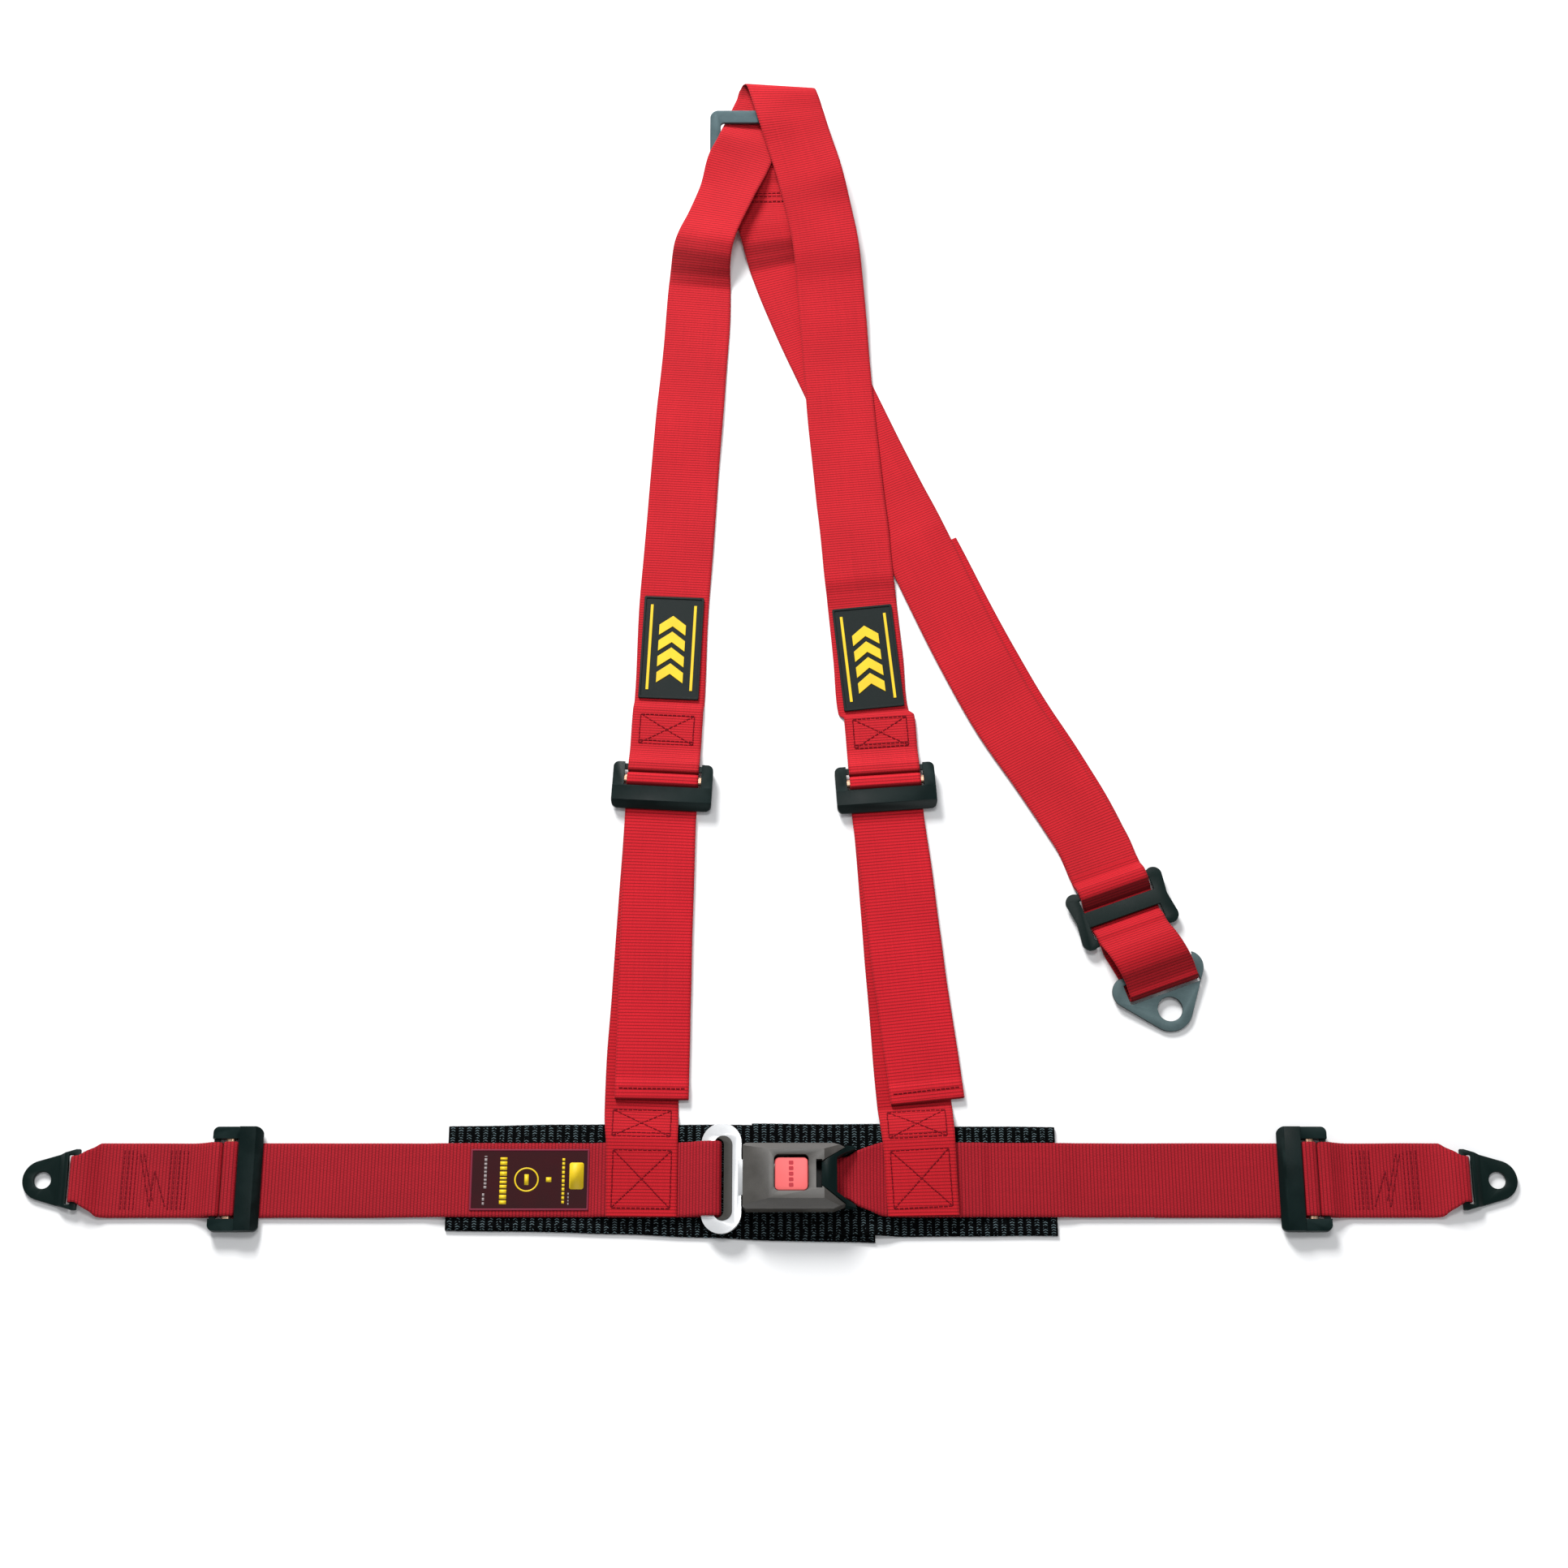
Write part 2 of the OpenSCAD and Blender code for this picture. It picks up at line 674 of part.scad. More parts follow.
module buckle_bottom_cover() {
    color(buckle_grey)
        difference() {
            translate([0, lap_y, buckle_bottom])
                linear_extrude(split_z - buckle_bottom)
                    buckle_plan(0);
            buckle_room(buckle_bottom + 0.8, split_z + 1);
            rivet_holes(2.6);
        }
}

module buckle_top_cover() {
    crown = 6;
    left_end = 20.6;
    right_end = 17.9;
    pocket = [button_w + 1, button_w + 2.4];
    color(buckle_grey)
        difference() {
            intersection() {
                translate([0, lap_y, split_z])
                    linear_extrude(buckle_top - split_z)
                        buckle_plan(0);
                translate([0, lap_y, 0])
                    rotate([90, 0, 90])
                        linear_extrude(200, center = true)
                            polygon([[-22.5, 8], [22.5, 8], [22.5, 17], [22.5 - crown, buckle_top],
                                [crown - 22.5, buckle_top], [-22.5, 17]]);
                translate([0, lap_y, 0])
                    rotate([90, 0, 0])
                        linear_extrude(60, center = true)
                            polygon([[buckle_x0, 8], [buckle_x1, 8], [buckle_x1, right_end],
                                [36, buckle_top], [-1, buckle_top], [buckle_x0, left_end]]);
            }
            buckle_room(split_z - 1, 19);
            translate([buckle_x0 - 1, lap_y - 12.5, split_z - 1])
                cube([10, 25, 3.9]);
            translate([button_x, lap_y + 0.7, 18])
                linear_extrude(10)
                    rounded_plate(pocket.x, -pocket.y / 2, pocket.y / 2, 3.4);
            translate([30.6, lap_y - 9.5, 18])
                cube([4, 19, 10]);
            rivet_holes(2.6);
        }
}

module cover_rivets() {
    color(steel)
        intersection() {
            rivet_holes(2.4);
            translate([-40, lap_y - 40, buckle_bottom])
                cube([100, 80, 12]);
        }
}

// Steel channel: floor, two side walls and a bar for the right lap strap.
module buckle_frame() {
    floor_z = 7.4;
    color(steel)
        difference() {
            union() {
                translate([-14, lap_y - frame_half, floor_z])
                    cube([62, 2 * frame_half, 2]);
                for (y = [-frame_half, frame_half - 1.6]) {
                    translate([-8, lap_y + y, floor_z])
                        cube([36, 1.6, 9]);
                }
            }
            translate([38, lap_y - 14.1, floor_z - 1])
                cube([5.5, 28.2, 4]);
            translate([12, lap_y + 20, 14.6])
                rotate([90, 0, 0])
                    cylinder(h = 40, d = 2.6);
        }
}

module latch_pin() {
    color(steel)
        translate([12, lap_y + frame_half, 14.6])
            rotate([90, 0, 0])
                cylinder(h = 2 * frame_half, d = 2.4);
}

// Hooked lever that drops into the tongue's window.
module latch() {
    color(steel)
        difference() {
            translate([0, lap_y + 6, 0])
                rotate([90, 0, 0])
                    linear_extrude(12)
                        polygon([[2.6, 12.7], [4.6, 12.7], [5.6, 13.4], [20, 13.4],
                            [24.6, 13.8], [24.6, 14.8], [17, 14.8], [14.5, 16.2],
                            [9.5, 16.2], [2.6, 15]]);
            translate([12, lap_y + 7, 14.6])
                rotate([90, 0, 0])
                    cylinder(h = 14, d = 2.6);
            translate([9.2, lap_y - 2.2, 12])
                cube([20, 4.4, 6]);
        }
}

module coil(pitch, turns, r, wire) {
    steps = 12;
    for (i = [0:turns * steps - 1]) {
        hull() {
            for (k = [i, i + 1]) {
                rotate([0, 0, k * 360 / steps])
                    translate([r, 0, pitch * k / steps])
                        sphere(d = wire, $fn = 6);
            }
        }
    }
}

// Torsion spring in the gap at the middle of the latch.
module latch_spring() {
    color(steel)
        translate([12, lap_y + 1.1, 14.6])
            rotate([90, 0, 0])
                coil(0.7, 3, 1.75, 0.5);
}

module ejector() {
    color("#d8d4c8")
        translate([14.2, lap_y - 9, 9.6])
            cube([4, 18, 1.6]);
}

module ejector_spring() {
    color(steel)
        translate([18.5, lap_y, 10.85])
            rotate([0, 90, 0])
                coil(2.2, 5, 1.1, 0.5);
}

module release_button() {
    stem = [3.8, 12, 6];
    recess = 1.5;
    color("#e4696b")
        translate([button_x, lap_y, 0])
            union() {
                translate([0, 0, buckle_top - recess - 3])
                    linear_extrude(3)
                        rounded_plate(button_w, -button_w / 2, button_w / 2, 3);
                translate([7, -stem.y / 2, 15.4])
                    cube(stem);
            }
}

// Black funnel that the right lap strap runs into.
module webbing_guide() {
    color(plastic)
        difference() {
            translate([0, lap_y, 0])
                intersection() {
                    translate([0, 0, buckle_bottom + 0.3])
                        linear_extrude(buckle_top)
                            polygon([[34.4, -7.6], [34.4, 7.6], [50.3, 18.6], [50.3, 20],
                                [57, 20.5], [57, -20.5], [50.3, -20], [50.3, -18.6]]);
                    rotate([90, 0, 0])
                        linear_extrude(60, center = true)
                            polygon([[34, 5.2], [57, 4.9], [57, 13.5], [48, 20], [38, 24.6],
                                [34, 24.6]]);
                }
            translate([0, lap_y, 4])
                linear_extrude(8.4)
                    polygon([[33, -frame_half - 0.2], [33, frame_half + 0.2],
                        [50, frame_half + 0.2], [58, 19.3], [58, -19.3],
                        [50, -frame_half - 0.2]]);
            translate([0, lap_y, 11.9])
                linear_extrude(20)
                    polygon([[44.5, -11.5], [44.5, 11.5], [50, frame_half + 0.8], [58, 19.3],
                        [58, -19.3], [50, -frame_half - 0.8]]);
            translate([33, lap_y - 7, 12])
                cube([4.5, 14, 6]);
        }
}

buckle_top_cover();
buckle_bottom_cover();
buckle_frame();
webbing_guide();
cover_rivets();
latch_pin();
latch_spring();
ejector_spring();
release_button();
latch();
ejector();
tongue_plate();
tongue_trim();
lap_strap_left();
lap_strap_right();
approval_label();
back_pad_left();
back_pad_right();
shoulder_stub_left();
shoulder_stub_right();
shoulder_tail_left();
shoulder_tail_right();
shoulder_adjuster_frame_left();
shoulder_adjuster_frame_right();
shoulder_adjuster_cover_left();
shoulder_adjuster_cover_right();
shoulder_lock_bar_left();
shoulder_lock_bar_right();
shoulder_strap();
badge_left();
badge_right();
harness_ring();
rear_strap();
rear_slide();
rear_loop();
rear_tail();
rear_anchor();
lap_adjuster_frame_left();
lap_adjuster_frame_right();
lap_adjuster_cover_left();
lap_adjuster_cover_right();
lap_lock_bar_left();
lap_lock_bar_right();
lap_tail_left();
lap_tail_right();
anchor_strap_left();
anchor_strap_right();
lap_anchor_left();
lap_anchor_right();
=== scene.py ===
"""Racing harness: webbing, stitching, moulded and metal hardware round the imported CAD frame.
Routes are in millimetres, as in part.scad, and become metres where a mesh is made."""

import json
import math
import random

import bmesh
import bpy
import numpy as np
from mathutils import Matrix, Vector, noise
from mathutils.bvhtree import BVHTree


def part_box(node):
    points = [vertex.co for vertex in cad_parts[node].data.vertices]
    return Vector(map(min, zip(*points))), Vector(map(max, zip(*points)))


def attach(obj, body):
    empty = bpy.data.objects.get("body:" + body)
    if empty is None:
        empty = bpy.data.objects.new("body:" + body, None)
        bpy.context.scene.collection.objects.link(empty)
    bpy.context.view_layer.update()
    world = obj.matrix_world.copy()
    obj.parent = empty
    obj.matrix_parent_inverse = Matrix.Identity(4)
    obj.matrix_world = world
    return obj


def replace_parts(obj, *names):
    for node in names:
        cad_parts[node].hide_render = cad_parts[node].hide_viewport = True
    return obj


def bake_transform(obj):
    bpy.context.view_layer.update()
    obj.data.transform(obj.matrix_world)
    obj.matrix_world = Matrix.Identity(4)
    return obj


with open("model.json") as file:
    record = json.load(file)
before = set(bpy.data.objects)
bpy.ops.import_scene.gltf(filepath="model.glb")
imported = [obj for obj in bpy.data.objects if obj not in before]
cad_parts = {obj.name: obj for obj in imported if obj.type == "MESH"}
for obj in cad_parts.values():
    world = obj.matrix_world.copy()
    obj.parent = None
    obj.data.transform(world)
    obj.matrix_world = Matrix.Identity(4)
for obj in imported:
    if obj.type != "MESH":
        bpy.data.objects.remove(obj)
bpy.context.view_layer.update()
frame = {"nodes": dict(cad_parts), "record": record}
MM = 0.001
RANDOM = random.Random(7)

# ---------------------------------------------------------------- camera and light

SENSOR_WIDTH, LENS = 36, 61.55
CAMERA_PLACE = (0.0094, -0.76505, 1.77227)
CAMERA_LEAN = 20
WORLD_COLOUR, WORLD_STRENGTH = (0.93, 0.96, 1, 1), 0.34
LIGHTS = (  # name, place, target, size, power in watts
    ("key", (-1.3, 3.1, 2.3), (0, 0, 0), (1.3, 1.3), 250),
    ("front", (1.4, -3.2, 1.0), (0, 0, 0), (1.8, 1.0), 26),
    ("top", (0.0, 0.5, 2.7), (0, -0.15, 0), (0.9, 0.6), 19),
)


def camera():
    """Looks down at the harness, turned CAMERA_LEAN degrees from straight down towards its far end."""
    data = bpy.data.cameras.new("camera")
    data.sensor_width = SENSOR_WIDTH
    data.lens = LENS
    made = bpy.data.objects.new("camera", data)
    made.location = CAMERA_PLACE
    made.rotation_euler = (math.radians(CAMERA_LEAN), 0, 0)
    bpy.context.scene.collection.objects.link(made)
    bpy.context.scene.camera = made


def area_light(name, place, target, size, power):
    """A soft rectangular light that faces its target."""
    data = bpy.data.lights.new(name, "AREA")
    data.shape = "RECTANGLE"
    data.size, data.size_y = size
    data.energy = power
    made = bpy.data.objects.new(name, data)
    made.location = place
    made.rotation_euler = (Vector(target) - Vector(place)).to_track_quat("-Z", "Y").to_euler()
    bpy.context.scene.collection.objects.link(made)


def studio():
    view = bpy.context.scene.view_settings
    view.view_transform = "Standard"
    view.look = "None"
    world = bpy.data.worlds.new("studio")
    world.use_nodes = True
    background = world.node_tree.nodes["Background"]
    background.inputs["Color"].default_value = WORLD_COLOUR
    background.inputs["Strength"].default_value = WORLD_STRENGTH
    bpy.context.scene.world = world
    for light in LIGHTS:
        area_light(*light)


# ---------------------------------------------------------------- materials


class Tree:
    """A material's node tree, made one node at a time."""

    def __init__(self, name):
        self.material = bpy.data.materials.new(name)
        self.material.use_nodes = True
        self.tree = self.material.node_tree
        self.tree.nodes.clear()

    def add(self, kind, *values, out=0, **settings):
        """A node whose inputs take these values in order: a number, a colour or another node's socket."""
        made = self.tree.nodes.new("ShaderNode" + kind)
        named = settings.pop("named", {})
        for key, value in settings.items():
            setattr(made, key, value)
        for key, value in [*enumerate(values), *named.items()]:
            self.feed(made.inputs[key], value)
        return made.outputs[out]

    def feed(self, socket, value):
        """Gives an input a fixed value, or links it to another node's socket."""
        if isinstance(value, bpy.types.NodeSocket):
            self.tree.links.new(value, socket)
        else:
            socket.default_value = value

    def math(self, operation, *values):
        """A node that does one operation on numbers."""
        return self.add("Math", *values, operation=operation)

    def ramp(self, value, low, high, to_low=0.0, to_high=1.0):
        """The value, mapped from one range to another and kept inside it."""
        return self.add("MapRange", value, low, high, to_low, to_high)

    def noise(self, vector, scale, detail=2.0, roughness=0.5):
        """Smooth noise from 0 to 1 over a vector."""
        return self.add("TexNoise", named={"Vector": vector, "Scale": scale, "Detail": detail,
                                           "Roughness": roughness})

    def shaded(self, colour, factor):
        """The colour made lighter or darker by a factor."""
        return self.add("VectorMath", colour, named={"Scale": factor}, operation="SCALE")

    def paint(self, colour):
        """A colour node that holds one linear colour."""
        made = self.add("RGB")
        made.default_value = (*colour, 1)
        return made

    def mix(self, factor, first, second):
        """The first colour where the factor is 0, and the second where it is 1."""
        return self.add("Mix", named={0: factor, 6: first, 7: second}, data_type="RGBA", out=2)

    def finish(self, colour, bump, depth, **sockets):
        """Ends the tree in a shader with this colour, bump height, bump depth in metres and sockets."""
        shader = self.tree.nodes.new("ShaderNodeBsdfPrincipled")
        output = self.tree.nodes.new("ShaderNodeOutputMaterial")
        self.tree.links.new(shader.outputs[0], output.inputs[0])
        self.tree.links.new(colour, shader.inputs["Base Color"])
        for name, value in sockets.items():
            self.feed(shader.inputs[name.replace("_", " ").title().replace("Ior", "IOR")], value)
        normal = self.add("Bump", named={"Height": bump, "Distance": depth, "Strength": 1.0})
        self.tree.links.new(normal, shader.inputs["Normal"])
        return self.material


def linear(r, g, b):
    """Linear colour from 8-bit display values."""
    return [((c / 255 + 0.055) / 1.055) ** 2.4 if c > 10 else c / 3294 for c in (r, g, b)]


GLINT_PITCH = 1.7


def webbing_material(name, colour, yarn=0.8, painted_groove_shade=0.36, glint_flecks=None, sheen=0.03,
                     specular=0.12):
    """Woven polyester: ribs across the strap, warp yarns along it, a smooth selvedge.
    The attribute weave holds the distances across and along, and the rib number. As painted shade,
    a second attribute says how far a surface turns to the front, away from the light that comes
    from behind, and the colour is painted darker there."""
    t = Tree(name)
    weave = t.add("Attribute", attribute_name="weave", out=1)
    across, _, rib = t.add("SeparateXYZ", weave).node.outputs
    edge = t.add("Attribute", attribute_name="edge", out=2)
    # painted shade: how far the surface turns to the front, away from the light behind it
    tilt = t.add("Attribute", attribute_name="tilt", out=2)
    hump = t.math("MULTIPLY", t.math("PINGPONG", rib, 0.5), 2.0)
    offset = t.math("MULTIPLY", t.math("MODULO", t.math("FLOOR", rib), 2.0), 0.5)
    turns = t.math("ADD", t.math("MULTIPLY", across, 1000 / yarn), offset)
    cord = t.math("MULTIPLY", t.math("PINGPONG", turns, 0.5), 2.0)
    place = t.add("TexCoord", out=3)
    broad = t.noise(place, 22.0, 3.0)
    fibres = t.noise(t.add("VectorMath", weave, (9000.0, 1500.0, 0.0), operation="MULTIPLY"), 1.0, 3.0)
    streaks = t.noise(t.add("VectorMath", weave, (1400.0, 14.0, 0.0), operation="MULTIPLY"), 1.0)
    # painted shade: the colour is painted darker in the grooves between the ribs
    tone = t.ramp(hump, 0.0, 0.45, painted_groove_shade, 1.0)
    # the last factor is painted shade, darker where the surface turns to the front
    for value, low, high, darkest, lightest in (
            (cord, 0.0, 0.5, 0.74, 1.04), (broad, 0.3, 0.7, 0.94, 1.05),
            (streaks, 0.25, 0.75, 0.93, 1.06), (fibres, 0.25, 0.75, 0.82, 1.16),
            (edge, 0.93, 0.97, 1.0, 0.86), (tilt, -0.5, -0.12, 0.36, 1.0)):
        tone = t.math("MULTIPLY", tone, t.ramp(value, low, high, darkest, lightest))
    painted = t.shaded(t.paint(colour), tone)
    # painted glints: light grey dashes in patches on the coarse weave, where it would catch the light
    if glint_flecks:
        mark = t.math("ABSOLUTE", t.math("SUBTRACT", t.math("FRACT", rib), 0.5))
        lean = t.math("MULTIPLY", mark, 1.6)
        turns = t.math("MULTIPLY", across, 1000 / GLINT_PITCH)
        dash = t.math("PINGPONG", t.math("ADD", turns, lean), 0.5)
        there = t.math("MULTIPLY", t.math("LESS_THAN", dash, 0.16), t.math("LESS_THAN", mark, 0.27))
        glint_patches = t.math("GREATER_THAN", t.noise(
            t.add("VectorMath", weave, (700.0, 300.0, 0.0), operation="MULTIPLY"), 1.0), 0.46)
        painted = t.mix(t.math("MULTIPLY", there, glint_patches), painted, t.paint(glint_flecks))
    relief = t.math("ADD", t.math("MULTIPLY", cord, 0.5), t.math("MULTIPLY", fibres, 0.35))
    relief = t.math("ADD", relief, t.math("MULTIPLY", hump, 0.4))
    return t.finish(painted, relief, 0.00028, roughness=0.72, sheen_weight=sheen,
                    sheen_roughness=0.5, specular_ior_level=specular)


def solid_material(name, colour, roughness, metallic=0.0, grain=900.0, depth=0.00004,
                   stretch=(1.0, 1.0, 1.0), wear=0.0, mottle=0.08, specular=0.3, rim=None):
    """Moulded plastic, coated steel or bare metal: fine grain, broad mottling and a bump of that grain.
    Wear brightens the edges, stretch draws the grain out, and a rim colour is painted shade on what
    doesn't face up."""
    t = Tree(name)
    place = t.add("TexCoord", out=3)
    fine = t.noise(t.add("VectorMath", place, stretch, operation="MULTIPLY"), grain, 3.0, 0.6)
    broad = t.noise(place, 60.0, 3.0)
    tone = t.ramp(broad, 0.3, 0.7, 1 - mottle, 1 + mottle)
    tone = t.math("MULTIPLY", tone, t.ramp(fine, 0.25, 0.75, 1 - mottle, 1 + mottle))
    painted = t.shaded(t.paint(colour), tone)
    if wear:
        point = t.add("NewGeometry").node.outputs["Pointiness"]
        rubbed = t.math("MULTIPLY", t.ramp(point, 0.52, 0.60), t.ramp(broad, 0.35, 0.6))
        painted = t.mix(rubbed, painted, t.paint([min(1, c * 1.6 + wear) for c in colour]))
    # painted shade: faces that don't face up take the darker rim colour
    if rim:
        shade_by_facing = t.add("SeparateXYZ", t.add("NewGeometry").node.outputs["Normal"], out=2)
        painted = t.mix(t.ramp(shade_by_facing, 0.8, 0.97), t.paint(rim), painted)
    rough = t.ramp(broad, 0.25, 0.75, roughness * 0.85, roughness * 1.15)
    return t.finish(painted, fine, depth, roughness=rough, metallic=metallic,
                    specular_ior_level=specular)


def thread_material(name, colour):
    """Twisted sewing thread."""
    t = Tree(name)
    twist = t.noise(t.add("TexCoord", out=3), 2600.0)
    return t.finish(t.shaded(t.paint(colour), t.ramp(twist, 0.3, 0.7, 0.8, 1.15)), twist, 0.00005,
                    roughness=0.65, specular_ior_level=0.08)


RED = webbing_material("webbing_red", linear(201, 32, 43))
TAIL_RED = webbing_material("webbing_red_tail", linear(204, 28, 41))
STUB_RED = webbing_material("webbing_red_stub", linear(192, 25, 37))
# painted shade: the same red webbing as the other straps, painted darker where its ribs catch less light
LAP_RED_SHADED = webbing_material("webbing_red_lap_shaded", linear(164, 24, 37))
# painted glints: the pad's light grey flecks stand for the light its weave catches
PAD = webbing_material("webbing_black_pad", linear(4, 5, 6), yarn=1.2, painted_groove_shade=0.2, sheen=0.0,
                       glint_flecks=linear(88, 104, 108), specular=0.03)
THREAD = thread_material("thread_red", linear(112, 10, 22))
LAP_THREAD = thread_material("thread_dark_red", linear(116, 18, 30))
BLACK = solid_material("plastic_black", linear(5, 21, 20), 0.34, wear=0.005, specular=0.11)
SATIN_BLACK = solid_material("steel_black", linear(4, 22, 20), 0.38, wear=0.005, depth=0.00003,
                             specular=0.16)
# painted shade: the anchor's sides and bevels take a dark rim colour
ANCHOR = solid_material("steel_phosphate", linear(76, 94, 96), 0.45, metallic=0.3, depth=0.00003,
                        rim=linear(10, 26, 26))
RING = solid_material("steel_grey", linear(66, 84, 88), 0.42, metallic=0.5, wear=0.08,
                      depth=0.00003)
BUCKLE = solid_material("plastic_taupe", linear(64, 61, 57), 0.4, grain=1500.0,
                        depth=0.00006, wear=0.02, mottle=0.1, specular=0.6)
BUTTON = solid_material("plastic_salmon", linear(236, 104, 104), 0.42, grain=1500.0,
                        depth=0.00003, mottle=0.04)
BUTTON_MARK = solid_material("plastic_deep_red", linear(178, 40, 52), 0.5)
CHROME = solid_material("steel_chromed", linear(240, 241, 242), 0.24, metallic=0.5, grain=500.0,
                        depth=0.00001, mottle=0.02, specular=0.6)
ZINC = solid_material("steel_zinc", linear(182, 186, 184), 0.3, metallic=1.0, grain=600.0,
                      stretch=(1.0, 6.0, 1.0), depth=0.00002)
BRASSY = solid_material("steel_yellow_zinc", linear(176, 140, 116), 0.32, metallic=0.9,
                        grain=600.0, depth=0.00002)
LINER = solid_material("plastic_grey", linear(52, 50, 46), 0.45)
IVORY = solid_material("plastic_ivory", linear(216, 210, 196), 0.5)
RUBBER = solid_material("rubber_black", linear(14, 24, 23), 0.5, grain=2200.0, depth=0.00008,
                        specular=0.15)
YELLOW = solid_material("print_yellow", linear(226, 192, 24), 0.5, grain=2200.0, depth=0.00004)
LABEL = solid_material("cloth_maroon", linear(50, 16, 20), 0.7, grain=2600.0, depth=0.00008,
                       mottle=0.16, specular=0.1)
PRINT_GREY = solid_material("print_grey", linear(150, 140, 140), 0.6, grain=2600.0, depth=0.0)
LABEL_EDGE = solid_material("cloth_wine", linear(120, 28, 52), 0.75, grain=2600.0, depth=0.00008)
FLOOR = solid_material("floor_white", (0.9, 0.9, 0.9), 0.85, grain=20.0, depth=0.0, mottle=0.0)

# ---------------------------------------------------------------- meshes


def link(name, mesh, material):
    """Puts a new mesh in the scene as an object of one material."""
    made = bpy.data.objects.new(name, mesh)
    bpy.context.scene.collection.objects.link(made)
    mesh.materials.append(material)
    return made


def mesh_from(name, points, faces):
    """A smooth-shaded mesh of these points and faces."""
    mesh = bpy.data.meshes.new(name)
    mesh.from_pydata([tuple(p) for p in points], [], faces)
    mesh.validate()
    mesh.shade_smooth()
    return mesh


def round_edges(made, width, segments, angle):
    """Bevels the edges that are sharper than an angle in degrees, by a width in millimetres."""
    bevel = made.modifiers.new("edges", "BEVEL")
    bevel.width = width * MM
    bevel.segments = segments
    bevel.limit_method = "ANGLE"
    bevel.angle_limit = math.radians(angle)
    bevel.harden_normals = True


def pchip(x, y, at):
    """Smooth curve through the rows of y at x that never overshoots them."""
    step = np.diff(x)
    slope = np.diff(y, axis=0) / step[:, None]
    m = np.zeros_like(y)
    m[0], m[-1] = slope[0], slope[-1]
    w1, w2 = (2 * step[1:] + step[:-1])[:, None], (step[1:] + 2 * step[:-1])[:, None]
    same = slope[:-1] * slope[1:] > 0
    safe = np.where(same, slope[:-1], 1), np.where(same, slope[1:], 1)
    m[1:-1] = np.where(same, (w1 + w2) / (w1 / safe[0] + w2 / safe[1]), 0)
    k = np.clip(np.searchsorted(x, at, "right") - 1, 0, len(step) - 1)
    h = step[k][:, None]
    t = ((at - x[k])[:, None]) / h
    return ((1 + 2 * t) * (1 - t) ** 2 * y[k] + t * (1 - t) ** 2 * h * m[k]
            + t * t * (3 - 2 * t) * y[k + 1] + t * t * (t - 1) * h * m[k + 1])


WEB_W, WEB_T, PLY_GAP = 50.0, 1.3, 0.3
SELVEDGE = 0.12  # how much thinner the woven edge is, and how far its ribs stand out
PER_RIB = 4
ROUTE_STEP = 0.15
COLUMNS = (-0.985, -0.9, -0.6, -0.3, 0.0, 0.3, 0.6, 0.9, 0.985)


def ply(n):
    """Height of the middle of a layer of webbing, with n layers below it."""
    return WEB_T / 2 + n * (WEB_T + PLY_GAP)


